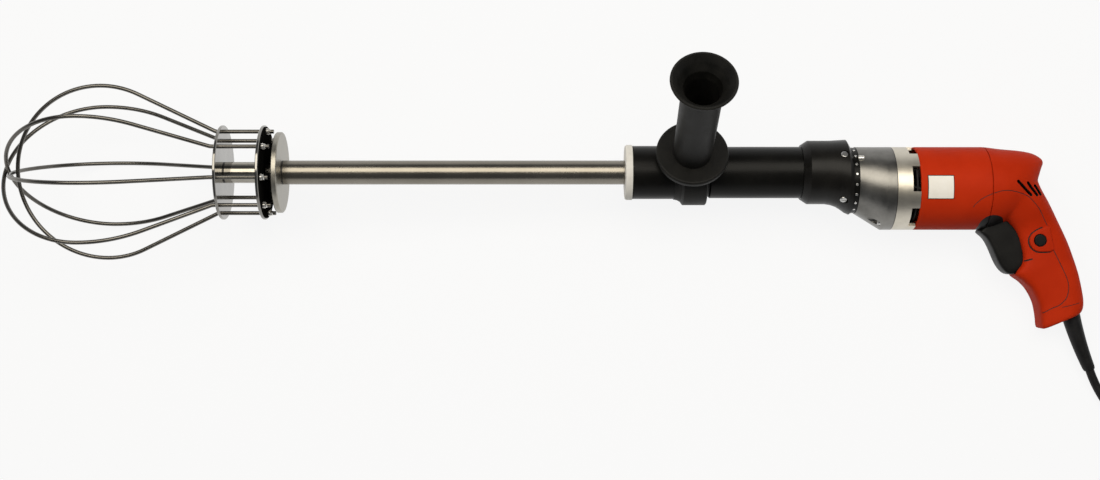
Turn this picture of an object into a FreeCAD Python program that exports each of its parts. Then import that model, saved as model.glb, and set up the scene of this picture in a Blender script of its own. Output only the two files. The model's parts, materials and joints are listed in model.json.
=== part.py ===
import FreeCAD, Part
import math
import os
import Sketcher

V = FreeCAD.Vector
doc = FreeCAD.newDocument("MixingDrill")

# Driving sizes in millimetres, degrees for angles. The tool frame has X along the shaft from
# the whisk to the handle, Z from the grip's end to the motor and Y across the tool.
SIZES = {
    "wire_radius": 2.1, "leg_circle_radius": 42.6, "belly_radius": 90, "flare_angle": 26,
    "loop_step": 4.4, "loop_phase": 9, "loop_reach": 212.4, "leg_bend_radius": 8, "leg_stub": 5,
    "wire_tail": 9, "whisk_plate_radius": 49, "whisk_plate_thickness": 3, "plate_gap": 40,
    "hub_radius": 11, "hub_spigot_radius": 6, "flange_gap": 11.5, "flange_radius": 42,
    "flange_thickness": 5.8, "shaft_radius": 12.5, "shaft_reach": 355.3, "shaft_socket": 27,
    "bush_thickness": 7.4, "bush_radius": 28.6, "bush_spigot": 20, "bush_clearance": 0.05,
    "nose_length": 43, "nose_radius": 27.6, "clamp_seat": 36, "clamp_seat_radius": 25,
    "spigot_radius": 21, "spigot_length": 52, "tube_radius": 26.7, "tube_exposed": 96,
    "tube_socket": 25, "tube_bore": 20, "bearing_seat_radius": 23.5, "bearing_set": 36,
    "bell_length": 50, "bell_step": 7, "bell_radius": 33, "bell_end_radius": 38,
    "bell_end_drop": 4, "bell_cavity": 24, "ring_width": 6, "ring_radius": 34,
    "pin_radius": 1.5, "case_seam": 352, "case_length": 36, "case_front_radius": 34.7,
    "case_front_drop": 8.3, "case_radius": 43, "motor_drop": 16.6, "case_wall": 4,
    "case_neck": 16, "plate_thickness": 6, "rim_length": 10, "lug_length": 8,
    "motor_length": 73, "motor_wall": 3, "field_bore": 21.6, "field_length": 40,
    "rotor_radius": 21, "stage_one_module": 0.8, "stage_two_module": 1, "pinion_teeth": 10,
    "gear_teeth": 40, "handle_wall": 3, "trigger_width": 24, "trigger_travel": 7,
    "trigger_angle": 18, "button_radius": 6.2, "button_travel": 2.5, "label_width": 25.3,
    "label_height": 22.9, "label_thickness": 0.6, "handle_angle": 27, "clamp_radius": 34,
    "guard_radius": 37, "guard_thickness": 7, "side_grip_radius": 20, "side_grip_wall": 3,
    "side_grip_end": 175.5, "flare_radius": 32.6, "flare_length": 22, "stud_radius": 5,
    "relief_length": 60, "relief_radius": 9.2, "relief_tip_radius": 5.8, "cord_radius": 4.5,
    "coil_pitch": 9.6, "coil_radius": 65, "tie_width": 14, "tie_thickness": 1.2,
    "plug_width": 36, "plug_height": 25, "plug_length": 42, "plug_pin_radius": 2.4,
    "plug_pin_length": 19, "plug_pin_spacing": 19,
}

# Stations along the tool, each a sum of driving sizes and other stations.
STATIONS = {
    "case_front": ["case_seam", "-case_length"],
    "ring_front": ["case_front", "-ring_width"],
    "bell_front": ["ring_front", "-bell_length"],
    "tube_end": ["bell_front", "tube_socket"],
    "tube_front": ["bell_front", "-tube_exposed"],
    "nose_shoulder": ["tube_front", "-clamp_seat"],
    "nose_front": ["nose_shoulder", "-nose_length"],
    "bush_front": ["nose_front", "-bush_thickness"],
    "flange_back": ["bush_front", "-shaft_reach"],
    "flange_front": ["flange_back", "-flange_thickness"],
    "rear_plate_back": ["flange_front", "-flange_gap"],
    "rear_plate_front": ["rear_plate_back", "-whisk_plate_thickness"],
    "front_plate_back": ["rear_plate_front", "-plate_gap"],
    "front_plate_front": ["front_plate_back", "-whisk_plate_thickness"],
    "bearing_front": ["tube_end", "-bearing_set", "-12"],
    "bearing_back": ["tube_end", "-bearing_set"],
    "shaft_end": ["bearing_back", "shaft_socket"],
    "neck_front": ["case_front", "-case_neck"],
    "plate_back": ["case_seam", "plate_thickness"],
    "rim_back": ["plate_back", "rim_length"],
    "housing_front": ["rim_back", "lug_length"],
    "housing_back": ["housing_front", "motor_length"],
    "wall_front": ["housing_back", "-4"],
    "field_front": ["housing_front", "10"],
    "field_back": ["field_front", "field_length"],
}


def parts_of(terms):
    """Terms as a list: one name or number alone, or several to be added."""
    return list(terms) if isinstance(terms, (list, tuple)) else [terms]


def value(terms):
    """Number of a sum of sizes, stations and plain numbers."""
    total = 0.0
    for term in parts_of(terms):
        if isinstance(term, str) and not term.lstrip("-").replace(".", "").isdigit():
            sign = -1 if term.startswith("-") else 1
            name = term.lstrip("-")
            total += sign * (SIZES[name] if name in SIZES else value(STATIONS[name]))
        else:
            total += float(term)
    return total


def formula(terms, sign=1):
    """The same sum as an expression on the spreadsheet's cells."""
    text = ""
    for term in parts_of(terms):
        if isinstance(term, str) and not term.lstrip("-").replace(".", "").isdigit():
            own = -sign if term.startswith("-") else sign
            name = term.lstrip("-")
            if name in SIZES:
                text += (" + " if own > 0 else " - ") + "Sizes." + name
            else:
                text += formula(STATIONS[name], own)
        else:
            number = sign * float(term)
            text += (" + " if number >= 0 else " - ") + "%.6g" % abs(number)
    return text if sign < 0 or text.startswith(" -") is False else " 0" + text


sheet = doc.addObject("Spreadsheet::Sheet", "Sizes")
for row, (name, number) in enumerate(SIZES.items(), 1):
    sheet.set("A%d" % row, name)
    sheet.set("B%d" % row, str(number))
    sheet.setAlias("B%d" % row, name)
doc.recompute()

nodes = {}
X_AXIS = V(1, 0, 0)
MOTOR = V(0, 0, -value("motor_drop"))


def keep(obj, label, local=None):
    """Register a finished sub-part with its file name and its place in the tool frame."""
    obj.Label = label
    nodes[label] = (obj, local or FreeCAD.Placement())
    return obj


def line_sketch(body, name, role, points):
    """Closed sketch of straight lines, every corner held by expressions."""
    sketch = body.newObject("Sketcher::SketchObject", name)
    plane = [item for item in body.Origin.OriginFeatures if item.Role == role][0]
    sketch.AttachmentSupport = [(plane, "")]
    sketch.MapMode = "FlatFace"
    spots = [V(value(x), value(y), 0) for x, y in points]
    count = len(spots)
    for i in range(count):
        sketch.addGeometry(Part.LineSegment(spots[i], spots[(i + 1) % count]), False)
    for i in range(count):
        sketch.addConstraint(Sketcher.Constraint("Coincident", i, 2, (i + 1) % count, 1))
    for i, (x, y) in enumerate(points):
        for kind, terms, axis in (("DistanceX", x, -2), ("DistanceY", y, -1)):
            if abs(value(terms)) < 1e-9:
                sketch.addConstraint(Sketcher.Constraint("PointOnObject", i, 1, axis))
                continue
            index = sketch.addConstraint(Sketcher.Constraint(kind, -1, 1, i, 1, value(terms)))
            sketch.setExpression("Constraints[%d]" % index, formula(terms))
    return sketch


def turned(label, profile, local=None, sub_part=True):
    """Body of revolution about the X axis through corners given as (station, radius)."""
    body = doc.addObject("PartDesign::Body", label)
    sketch = line_sketch(body, label + "_profile", "XZ_Plane", profile)
    turn = body.newObject("PartDesign::Revolution", label + "_turn")
    turn.Profile = sketch
    turn.ReferenceAxis = (sketch, ["H_Axis"])
    turn.Angle = 360
    sketch.Visibility = False
    doc.recompute()
    if sub_part:
        keep(body, label, local)
    return body


def soften(body, rims, radius):
    """Round the circular edges that stand at the given (station, radius) corners."""
    names = []
    for number, edge in enumerate(body.Shape.Edges, 1):
        curve = edge.Curve
        if curve.TypeId != "Part::GeomCircle":
            continue
        for x, r in rims:
            if abs(curve.Center.x - value(x)) < 1e-4 and abs(curve.Radius - value(r)) < 1e-4:
                names.append("Edge%d" % number)
    base = body.Tip
    fillet = body.newObject("PartDesign::Fillet", body.Name + "_round")
    fillet.Base = (base, names)
    fillet.Radius = radius
    doc.recompute()
    return body


def ring_of_holes(body, face_role, spots, radius, count=1):
    """Round holes right through a body along X, at (y, z) spots, repeated about the X axis."""
    sketch = body.newObject("Sketcher::SketchObject", body.Name + "_holes")
    plane = [item for item in body.Origin.OriginFeatures if item.Role == face_role][0]
    sketch.AttachmentSupport = [(plane, "")]
    sketch.MapMode = "FlatFace"
    for number, (y, z) in enumerate(spots):
        circle = Part.Circle(V(value(y), value(z), 0), V(0, 0, 1), value(radius))
        sketch.addGeometry(circle, False)
        index = sketch.addConstraint(Sketcher.Constraint("Radius", number, value(radius)))
        sketch.setExpression("Constraints[%d]" % index, formula(radius))
        for kind, terms, axis in (("DistanceX", y, -2), ("DistanceY", z, -1)):
            if abs(value(terms)) < 1e-9:
                sketch.addConstraint(Sketcher.Constraint("PointOnObject", number, 3, axis))
                continue
            index = sketch.addConstraint(
                Sketcher.Constraint(kind, -1, 1, number, 3, value(terms)))
            sketch.setExpression("Constraints[%d]" % index, formula(terms))
    pocket = body.newObject("PartDesign::Pocket", body.Name + "_drill")
    pocket.Profile = sketch
    pocket.Type = 1
    pocket.Midplane = True
    sketch.Visibility = False
    if count > 1:
        pattern = body.newObject("PartDesign::PolarPattern", body.Name + "_ring")
        axis = [item for item in body.Origin.OriginFeatures if item.Role == "X_Axis"][0]
        pattern.Originals = [pocket]
        pattern.Axis = (axis, [""])
        pattern.Angle = 360
        pattern.Occurrences = count
        body.Tip = pattern
    doc.recompute()
    return body


def along(point, direction):
    """Placement that turns a primitive's Z axis to a direction and moves it to a point."""
    return FreeCAD.Placement(point, FreeCAD.Rotation(V(0, 0, 1), direction))


def rod(name, radius, length, point, direction):
    """Part cylinder from a point along a direction."""
    obj = doc.addObject("Part::Cylinder", name)
    obj.setExpression("Radius", formula(radius))
    obj.setExpression("Height", formula(length))
    obj.Placement = along(point, direction)
    return obj


def block(name, sizes, corner, turn=None):
    """Part box with its low corner at a point."""
    obj = doc.addObject("Part::Box", name)
    for side, terms in zip(("Length", "Width", "Height"), sizes):
        obj.setExpression(side, formula(terms))
    obj.Placement = FreeCAD.Placement(corner, turn or FreeCAD.Rotation())
    return obj


def hoop(name, radius, station, drop):
    """Circle across the tool, one section of a loft."""
    obj = doc.addObject("Part::Circle", name)
    obj.setExpression("Radius", formula(radius))
    obj.Placement = along(V(value(station), 0, -value(drop)), X_AXIS)
    return obj


def loft(name, hoops, ruled=False):
    obj = doc.addObject("Part::Loft", name)
    obj.Sections = hoops
    obj.Solid = True
    obj.Ruled = ruled
    return obj


def joined(name, items):
    obj = doc.addObject("Part::MultiFuse", name)
    obj.Shapes = items
    obj.Refine = True
    return obj


def cut(name, base, tools):
    obj = doc.addObject("Part::Cut", name)
    obj.Base = base
    obj.Tool = tools[0] if len(tools) == 1 else joined(name + "_tools", tools)
    obj.Refine = True
    return obj


def solid(label, shape, local=None):
    """Sub-part whose shape comes from Part's own functions."""
    obj = doc.addObject("Part::Feature", label)
    obj.Shape = shape
    return keep(obj, label, local)


def arc_through(a, b, c):
    return Part.Arc(a, b, c).toShape()


# Whisk. Four nested wire loops; each is one planar wire with two straight legs through both
# plates, flaring lines, blending arcs and a half circle round the tip.
def loop_wire(number):
    angle = math.radians(value("flare_angle"))
    belly = value("belly_radius")
    leg = value("leg_circle_radius")
    bend = value("front_plate_front") - value("leg_stub")
    centre = value("front_plate_front") - value("loop_reach") + belly - number * value("loop_step")
    drop = belly - leg
    advance = bend - centre
    rise = 1 - math.cos(angle)
    scale = rise * math.cos(angle) - math.sin(angle) ** 2
    blend = (drop * math.cos(angle) - advance * math.sin(angle)) / scale
    start = V(value("rear_plate_back") + value("wire_tail"), 0, leg)
    setback = value("leg_bend_radius") * math.tan(angle / 2)
    radius = value("leg_bend_radius")
    first = V(bend + setback, 0, leg)
    hub = V(first.x, 0, leg + radius)
    half = hub + V(-radius * math.sin(angle / 2), 0, -radius * math.cos(angle / 2))
    second = hub + V(-radius * math.sin(angle), 0, -radius * math.cos(angle))
    third = V(centre + blend * math.sin(angle), 0, belly - blend * rise)
    top = V(centre, 0, belly)
    middle = V(centre + blend * math.sin(angle / 2), 0, belly - blend * (1 - math.cos(angle / 2)))
    tip = V(centre - belly, 0, 0)

    def flip(point):
        return V(point.x, 0, -point.z)

    edges = [
        Part.makeLine(start, first), arc_through(first, half, second),
        Part.makeLine(second, third), arc_through(third, middle, top),
        arc_through(top, V(centre - belly * math.sqrt(0.5), 0, belly * math.sqrt(0.5)), tip),
        arc_through(tip, V(centre - belly * math.sqrt(0.5), 0, -belly * math.sqrt(0.5)), flip(top)),
        arc_through(flip(top), flip(middle), flip(third)), Part.makeLine(flip(third), flip(second)),
        arc_through(flip(second), flip(half), flip(first)), Part.makeLine(flip(first), flip(start)),
    ]
    ring = Part.Wire(Part.Circle(start, X_AXIS, value("wire_radius")).toShape())
    return Part.Wire(edges).makePipeShell([ring], True, False)


# The loops lie in planes 45 degrees apart; each next one out reaches one step further.
for number, turn in enumerate((0, -90, 45, -45)):
    place = FreeCAD.Placement(V(), FreeCAD.Rotation(X_AXIS, value("loop_phase") + turn))
    solid("wire_loop_%d" % (number + 1), loop_wire(number), place)

phase = FreeCAD.Placement(V(), FreeCAD.Rotation(X_AXIS, value("loop_phase")))
front_plate = turned("whisk_front_plate", [
    ("front_plate_front", "hub_spigot_radius"), ("front_plate_front", ["whisk_plate_radius", -0.6]),
    (["front_plate_front", 0.6], "whisk_plate_radius"),
    (["front_plate_back", -0.6], "whisk_plate_radius"),
    ("front_plate_back", ["whisk_plate_radius", -0.6]), ("front_plate_back", "hub_spigot_radius")],
    phase)
ring_of_holes(front_plate, "YZ_Plane", [(0, "leg_circle_radius")], "wire_radius", 8)
rear_plate = turned("whisk_rear_plate", [
    ("rear_plate_front", "hub_radius"), ("rear_plate_front", ["whisk_plate_radius", -0.6]),
    (["rear_plate_front", 0.6], "whisk_plate_radius"),
    (["rear_plate_back", -0.6], "whisk_plate_radius"),
    ("rear_plate_back", ["whisk_plate_radius", -0.6]), ("rear_plate_back", "hub_radius")], phase)
ring_of_holes(rear_plate, "YZ_Plane", [(0, "leg_circle_radius")], "wire_radius", 8)
turned("whisk_hub", [
    ("front_plate_front", 0), ("front_plate_front", "hub_spigot_radius"),
    ("front_plate_back", "hub_spigot_radius"), ("front_plate_back", "hub_radius"),
    ("flange_back", "hub_radius"), ("flange_back", 0)])
turned("shaft_flange", [
    ("flange_front", "hub_radius"), ("flange_front", ["flange_radius", -0.8]),
    (["flange_front", 0.8], "flange_radius"), (["flange_back", -0.8], "flange_radius"),
    ("flange_back", ["flange_radius", -0.8]), ("flange_back", "hub_radius")])
turned("mixing_shaft", [
    ("flange_back", 0), ("flange_back", "shaft_radius"),
    (["shaft_end", -1], "shaft_radius"), ("shaft_end", ["shaft_radius", -1]), ("shaft_end", 0)])

# Neck. A plastic bush carries the shaft in the nose; nose and tube are joined by a spigot.
bush = turned("front_bush", [
    ("bush_front", ["shaft_radius", "bush_clearance"]), ("bush_front", "bush_radius"),
    ("nose_front", "bush_radius"), ("nose_front", "spigot_radius"),
    (["nose_front", "bush_spigot"], "spigot_radius"),
    (["nose_front", "bush_spigot"], ["shaft_radius", "bush_clearance"])])
soften(bush, [("bush_front", "bush_radius")], 2.2)
nose = turned("bearing_nose", [
    ("nose_front", "spigot_radius"), ("nose_front", ["nose_radius", -0.8]),
    (["nose_front", 0.8], "nose_radius"), ("nose_shoulder", "nose_radius"),
    ("nose_shoulder", "clamp_seat_radius"), ("tube_front", "clamp_seat_radius"),
    ("tube_front", "spigot_radius")])
tube = turned("bearing_tube", [
    (["tube_front", "-spigot_length"], 15), (["tube_front", "-spigot_length"], "spigot_radius"),
    ("tube_front", "spigot_radius"), ("tube_front", ["tube_radius", -1.6]),
    (["tube_front", 1.6], "tube_radius"), ("tube_end", "tube_radius"),
    ("tube_end", "bearing_seat_radius"), ("bearing_front", "bearing_seat_radius"),
    ("bearing_front", "tube_bore"), (["tube_front", 6], "tube_bore"), (["tube_front", 6], 15)])


def bearing(front, width, bore, inner, outer, seat, count):
    """Ball bearing: inner ring, and outer ring with its caged balls."""
    middle = (inner + outer) / 2
    ball = (outer - inner) / 2
    ring = Part.makeCylinder(seat, width, front, X_AXIS).cut(
        Part.makeCylinder(outer, width, front, X_AXIS))
    centre = front + V(width / 2, 0, 0)
    cage = Part.makeTorus(middle, ball * 0.3, centre, X_AXIS)
    for number in range(count):
        angle = 2 * math.pi * number / count
        spot = centre + V(0, middle * math.cos(angle), middle * math.sin(angle))
        cage = cage.fuse(Part.makeSphere(ball - 0.04, spot + V(0, math.cos(angle) * 0.04,
                                                              math.sin(angle) * 0.04)))
    race = Part.makeCylinder(inner, width, front, X_AXIS).cut(
        Part.makeCylinder(bore, width, front, X_AXIS))
    return Part.makeCompound([ring, cage.removeSplitter()]), race


outer_ring, inner_ring = bearing(V(value("bearing_front"), 0, 0), 12, value("shaft_radius"), 15.5,
                                 20.5, value("bearing_seat_radius"), 10)
solid("shaft_bearing_outer", outer_ring)
solid("shaft_bearing_inner", inner_ring)
coupling = turned("drive_coupling", [
    ("bearing_back", "shaft_radius"), ("bearing_back", 17.5), (["shaft_end", 20], 17.5),
    (["shaft_end", 22], 15.5), (["shaft_end", 22], 7.5), ("shaft_end", 7.5),
    ("shaft_end", "shaft_radius")])

# Coupling bell: round at the tube, dropping and widening to meet the gear case.
doc.recompute()
bell_sections = [
    ("bell_front", ["tube_radius", 1.8], 0), (["bell_front", "bell_step"], "bell_radius", 0),
    ("tube_end", "bell_radius", 0), (["tube_end", 6], ["bell_radius", 0.5], 0.4),
    (["tube_end", 12], ["bell_radius", 1.7], 1.2), (["tube_end", 17], ["bell_radius", 3.4], 2.6),
    (["ring_front", -4], "bell_end_radius", "bell_end_drop"),
    ("ring_front", ["case_front_radius", 0.8], "case_front_drop")]
bell_body = loft("bell_body", [
    hoop("bell_hoop_%d" % number, radius, station, fall)
    for number, (station, radius, fall) in enumerate(bell_sections)], True)
bell_bore = rod("bell_bore", "tube_radius", "tube_socket", V(value("bell_front"), 0, 0), X_AXIS)
bell_room = rod("bell_room", "bell_cavity", ["neck_front", "-tube_end"],
                V(value("tube_end"), 0, 0), X_AXIS)
bell_neck = rod("bell_neck", "spigot_radius", ["ring_front", "-neck_front", 1],
                V(value("neck_front"), 0, 0), X_AXIS)
# Each screw sits in a flat-bottomed pocket near the bell's rim, square to its surface.
bell_screw_angles = (35, -48, 145, -132)
bell_pockets = []
bell_screws = []
for number, angle in enumerate(bell_screw_angles):
    out = V(0, -math.cos(math.radians(angle)), math.sin(math.radians(angle)))
    spot = V(value("ring_front") - 9, 0, -value("bell_end_drop") * 0.7)
    pocket = rod("bell_pocket_%d" % number, 4.2, 10, spot + out * 33.5, out)
    stem = rod("bell_stem_%d" % number, 2, 13.4, spot + out * 20.2, out)
    bell_pockets += [pocket, stem]
    head = Part.makeCylinder(3.9, 2.4, spot + out * 33.5, out)
    head = head.makeFillet(1.2, [edge for edge in head.Edges
                                 if (edge.CenterOfMass - spot).dot(out) > 35.5])
    socket = Part.makeBox(4.4, 0.9, 1.2, V(-2.2, -0.45, 0))
    socket.Placement = along(spot + out * 34.9, out)
    stud = Part.makeCylinder(2, 10, spot + out * 23.5, out)
    bell_screws.append(head.cut(socket).fuse(stud).removeSplitter())
bell = cut("coupling_bell", bell_body, [bell_bore, bell_room, bell_neck] + bell_pockets)
keep(bell, "coupling_bell")
solid("bell_screws", Part.makeCompound(bell_screws))

# Nose ring: black spacer between bell and gear case, with a row of bright pins.
drop = V(0, 0, -value("case_front_drop"))
ring_disc = rod("ring_disc", "ring_radius", "ring_width", V(value("ring_front"), 0, 0) + drop,
                X_AXIS)
ring_bore = rod("ring_bore", "spigot_radius", "ring_width", V(value("ring_front"), 0, 0), X_AXIS)
pins = []
pin_holes = []
pin_count = 20
for number in range(pin_count):
    angle = 2 * math.pi * (number + 0.5) / pin_count
    out = V(0, math.cos(angle), math.sin(angle))
    spot = V(value("ring_front") + value("ring_width") / 2, 0, 0) + drop
    spot += out * (value("ring_radius") - 3)
    pin_holes.append(rod("pin_hole_%d" % number, "pin_radius", 5, spot, out))
    pin = Part.makeCylinder(value("pin_radius"), 3.4, spot, out)
    pins.append(pin.makeFillet(0.5, [edge for edge in pin.Edges
                                     if (edge.CenterOfMass - spot).dot(out) > 3.3]))
keep(cut("nose_ring", ring_disc, [ring_bore] + pin_holes), "nose_ring")
solid("nose_ring_pins", Part.makeCompound(pins))

# Gear case: cast shell from the offset front to the round motor end, with the spindle neck.
doc.recompute()
case_back_round = ["case_seam", -9]
case_shell = loft("case_shell", [
    hoop("case_hoop_a", "case_front_radius", "case_front", "case_front_drop"),
    hoop("case_hoop_b", "case_radius", case_back_round, "motor_drop")], True)
case_drum = rod("case_drum", "case_radius", 9, V(value(case_back_round), 0, 0) + MOTOR, X_AXIS)
neck = rod("case_neck_rod", "spigot_radius", ["case_neck", 2], V(value("neck_front"), 0, 0),
           X_AXIS)
case_room = loft("case_room", [
    hoop("room_hoop_a", ["case_front_radius", "-case_wall"], ["case_front", 5], "case_front_drop"),
    hoop("room_hoop_b", ["case_radius", "-case_wall"], case_back_round, "motor_drop")], True)
case_room_drum = rod("case_room_drum", ["case_radius", "-case_wall"], 10,
                     V(value(case_back_round), 0, 0) + MOTOR, X_AXIS)
seat = rod("spindle_seat", 17.5, 19, V(value("neck_front") + 3, 0, 0), X_AXIS)
way = rod("spindle_way", 11, 30, V(value("neck_front") - 1, 0, 0), X_AXIS)

# Gear centres: the intermediate axis stands at both centre distances from spindle and motor.
teeth = value("gear_teeth") + value("pinion_teeth")
reach_two = value("stage_two_module") * teeth / 2
reach_one = value("stage_one_module") * teeth / 2
offset = value("motor_drop")
mid_z = -(reach_two ** 2 - reach_one ** 2 + offset ** 2) / (2 * offset)
MIDDLE = V(0, math.sqrt(reach_two ** 2 - mid_z ** 2), mid_z)
front_pocket = rod("front_bush_pocket", 6, 4.5, V(value("case_front") + 1, 0, 0) + MIDDLE, X_AXIS)
case_body = joined("case_body", [case_shell, case_drum, neck])

# Case screws stand in round notches in the case's slope and go through into the plate.
notches = []
screws = []
case_screw_angles = (-66, 66, 114, -114)
for number, angle in enumerate(case_screw_angles):
    out = V(0, -math.cos(math.radians(angle)), math.sin(math.radians(angle)))
    spot = V(value("case_seam") - 12, 0, 0) + MOTOR + out * (value("case_radius") - 5.4)
    notches.append(rod("case_notch_%d" % number, 4.4, 24, spot - X_AXIS * 24, X_AXIS))
    notches.append(rod("case_tap_%d" % number, 1.8, 16, spot, X_AXIS))
    head = Part.makeCylinder(3.7, 3.2, spot - X_AXIS * 3.2, X_AXIS)
    head = head.makeChamfer(0.5, [edge for edge in head.Edges
                                  if edge.CenterOfMass.x < spot.x - 3.1])
    key = Part.makeCylinder(1.6, 2, spot - X_AXIS * 3.2, X_AXIS)
    screws.append(head.cut(key).fuse(Part.makeCylinder(1.8, 16, spot, X_AXIS)).removeSplitter())
gear_case = cut("gear_case", case_body, [case_room, case_room_drum, seat, way, front_pocket]
                + notches)
keep(gear_case, "gear_case")
solid("case_screws", Part.makeCompound(screws))

# Bearing plate: closes the gear case, carries the bearings and ends in a rim with vent windows.
plate_drum = rod("plate_drum", "case_radius", ["plate_thickness", "rim_length", "lug_length"],
                 V(value("case_seam"), 0, 0) + MOTOR, X_AXIS)
plate_room = rod("plate_room", ["case_radius", -3.5], ["rim_length", "lug_length", 1],
                 V(value("plate_back"), 0, 0) + MOTOR, X_AXIS)
plate_holes = [
    rod("plate_motor_seat", 9.5, 8, V(value("case_seam"), 0, 0) + MOTOR, X_AXIS),
    rod("plate_spindle_seat", 5.5, 8, V(value("case_seam") - 1, 0, 0), X_AXIS),
    rod("plate_middle_seat", 6, 8, V(value("case_seam") - 1, 0, 0) + MIDDLE, X_AXIS)]
windows = []
for number in range(6):
    middle = math.radians(12 + 60 * number)
    edge = math.radians(18)
    far = value("case_radius") + 6
    corners = [V(0, 0, 0)]
    for step in (-1, -0.5, 0, 0.5, 1):
        angle = middle + step * edge
        corners.append(V(0, -far * math.cos(angle), far * math.sin(angle)))
    face = Part.Face(Part.makePolygon(corners + [corners[0]]))
    face.translate(V(value("rim_back"), 0, 0) + MOTOR)
    window = doc.addObject("Part::Feature", "vent_window_%d" % number)
    window.Shape = face.extrude(V(value("lug_length") + 1, 0, 0))
    windows.append(window)
plate_taps = []
for number, angle in enumerate(case_screw_angles):
    out = V(0, -math.cos(math.radians(angle)), math.sin(math.radians(angle)))
    spot = V(value("case_seam") - 1, 0, 0) + MOTOR + out * (value("case_radius") - 5.4)
    plate_taps.append(rod("plate_tap_%d" % number, 1.8, 5, spot, X_AXIS))
keep(cut("bearing_plate", plate_drum, [plate_room] + plate_holes + windows + plate_taps),
     "bearing_plate")


# Gears, with involute flanks of 25 degrees and stub teeth.
def gear_face(module, count, turn):
    """Tooth outline in the YZ plane with one tooth centred on an angle from +Y."""
    pressure = math.radians(25)
    pitch = module * count / 2
    base = pitch * math.cos(pressure)
    tip = pitch + 0.8 * module
    root = pitch - 1.05 * module
    spread = math.tan(pressure) - pressure
    half = math.pi / (2 * count) - 0.045 / pitch
    edges = []
    last = None
    first = None
    for number in range(count):
        centre = turn + 2 * math.pi * number / count
        flank = []
        low = max(base, root)
        for step in range(6):
            radius = low + (tip - low) * step / 5
            angle = math.acos(min(1.0, base / radius))
            flank.append((radius, half + spread - (math.tan(angle) - angle)))

        def spot(radius, angle):
            return V(0, radius * math.cos(angle), radius * math.sin(angle))

        left = [spot(r, centre - a) for r, a in flank]
        right = [spot(r, centre + a) for r, a in reversed(flank)]
        foot = flank[0][1]
        start = spot(root, centre - foot)
        stop = spot(root, centre + foot)
        if last is not None:
            edges.append(Part.makeLine(last, start))
        else:
            first = start
        if (left[0] - start).Length > 1e-4:
            edges.append(Part.makeLine(start, left[0]))
        curve = Part.BSplineCurve()
        curve.interpolate(left)
        edges.append(curve.toShape())
        edges.append(arc_through(left[-1], spot(tip, centre), right[0]))
        curve = Part.BSplineCurve()
        curve.interpolate(right)
        edges.append(curve.toShape())
        if (right[-1] - stop).Length > 1e-4:
            edges.append(Part.makeLine(right[-1], stop))
        last = stop
    edges.append(Part.makeLine(last, first))
    return Part.Face(Part.Wire(edges))


def gear_solid(module, count, turn, front, width):
    face = gear_face(module, count, turn)
    face.translate(front)
    return face.extrude(V(width, 0, 0))


def heading(start, end):
    return math.atan2(end.z - start.z, end.y - start.y)


stage_one = value("stage_one_module")
stage_two = value("stage_two_module")
big = int(value("gear_teeth"))
small = int(value("pinion_teeth"))
case_front = value("case_front")
seam = value("case_seam")
to_middle = heading(V(), MIDDLE)
to_motor = heading(MIDDLE, MOTOR)
output = gear_solid(stage_two, big, to_middle, V(case_front + 6, 0, 0), 14)
output = output.cut(Part.makeCylinder(7.5, 20, V(case_front + 4, 0, 0), X_AXIS))
solid("output_gear", output)
pinion = gear_solid(stage_two, small, to_middle + math.pi + math.pi / small,
                    MIDDLE + V(case_front + 5.5, 0, 0), 15)
shaft = Part.makeCylinder(3.5, seam + 5 - (case_front + 1.5), MIDDLE + V(case_front + 1.5, 0, 0),
                          X_AXIS)
seat_rod = Part.makeCylinder(3.9, seam - 1.5 - (case_front + 20), MIDDLE + V(case_front + 20, 0, 0),
                             X_AXIS)
solid("intermediate_shaft", pinion.fuse(shaft).fuse(seat_rod).removeSplitter())
middle_gear = gear_solid(stage_one, big, to_motor, MIDDLE + V(seam - 12, 0, 0), 9.5)
middle_gear = middle_gear.cut(
    Part.makeCylinder(3.9, 14, MIDDLE + V(seam - 14, 0, 0), X_AXIS))
solid("intermediate_gear", middle_gear)
bushes = []
for front, width, radius, bore, spot in (
        (case_front + 1, 4, 6, 3.55, MIDDLE), (seam, value("plate_thickness"), 6, 3.55, MIDDLE),
        (seam, value("plate_thickness"), 5.5, 4.05, V())):
    ring = Part.makeCylinder(radius, width, spot + V(front, 0, 0), X_AXIS)
    bushes.append(ring.cut(Part.makeCylinder(bore, width, spot + V(front, 0, 0), X_AXIS)))
solid("plain_bushes", Part.makeCompound(bushes))
turned("output_spindle", [
    ("shaft_end", 0), ("shaft_end", 6.5), (["shaft_end", 1], 7.5), (["case_front", 20], 7.5),
    (["case_front", 20], 6), (["case_seam", -1], 6), (["case_seam", -1], 4),
    (["plate_back", -1], 4), (["plate_back", -1], 0)])
outer_ring, inner_ring = bearing(V(value("neck_front") + 3, 0, 0), 11,
                                 7.5, 10.3, 14.7, 17.5, 8)
solid("spindle_bearing_outer", outer_ring)
solid("spindle_bearing_inner", inner_ring)

# Motor. Housing with a rear wall and bearing hub; the wound field sits in its bore.
on_motor = FreeCAD.Placement(MOTOR, FreeCAD.Rotation())
motor_base = turned("motor_base", [
    ("housing_front", ["case_radius", "-motor_wall"]), ("housing_front", ["case_radius", -0.8]),
    (["housing_front", 0.8], "case_radius"), ("housing_back", "case_radius"),
    ("housing_back", 13), (["housing_back", 7], 13), (["housing_back", 7], 9.5),
    (["housing_back", 1], 9.5), (["housing_back", 1], 5), ("wall_front", 5),
    ("wall_front", ["case_radius", -5]), ("field_front", ["case_radius", -5]),
    ("field_front", ["case_radius", "-motor_wall"])], sub_part=False)
ring_of_holes(motor_base, "YZ_Plane", [(0, 26)], 5.5, 8)
motor_base.Placement = on_motor
field = turned("field_core", [
    ("field_front", "field_bore"), ("field_front", ["case_radius", -5]),
    ("field_back", ["case_radius", -5]), ("field_back", "field_bore")], on_motor)
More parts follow.
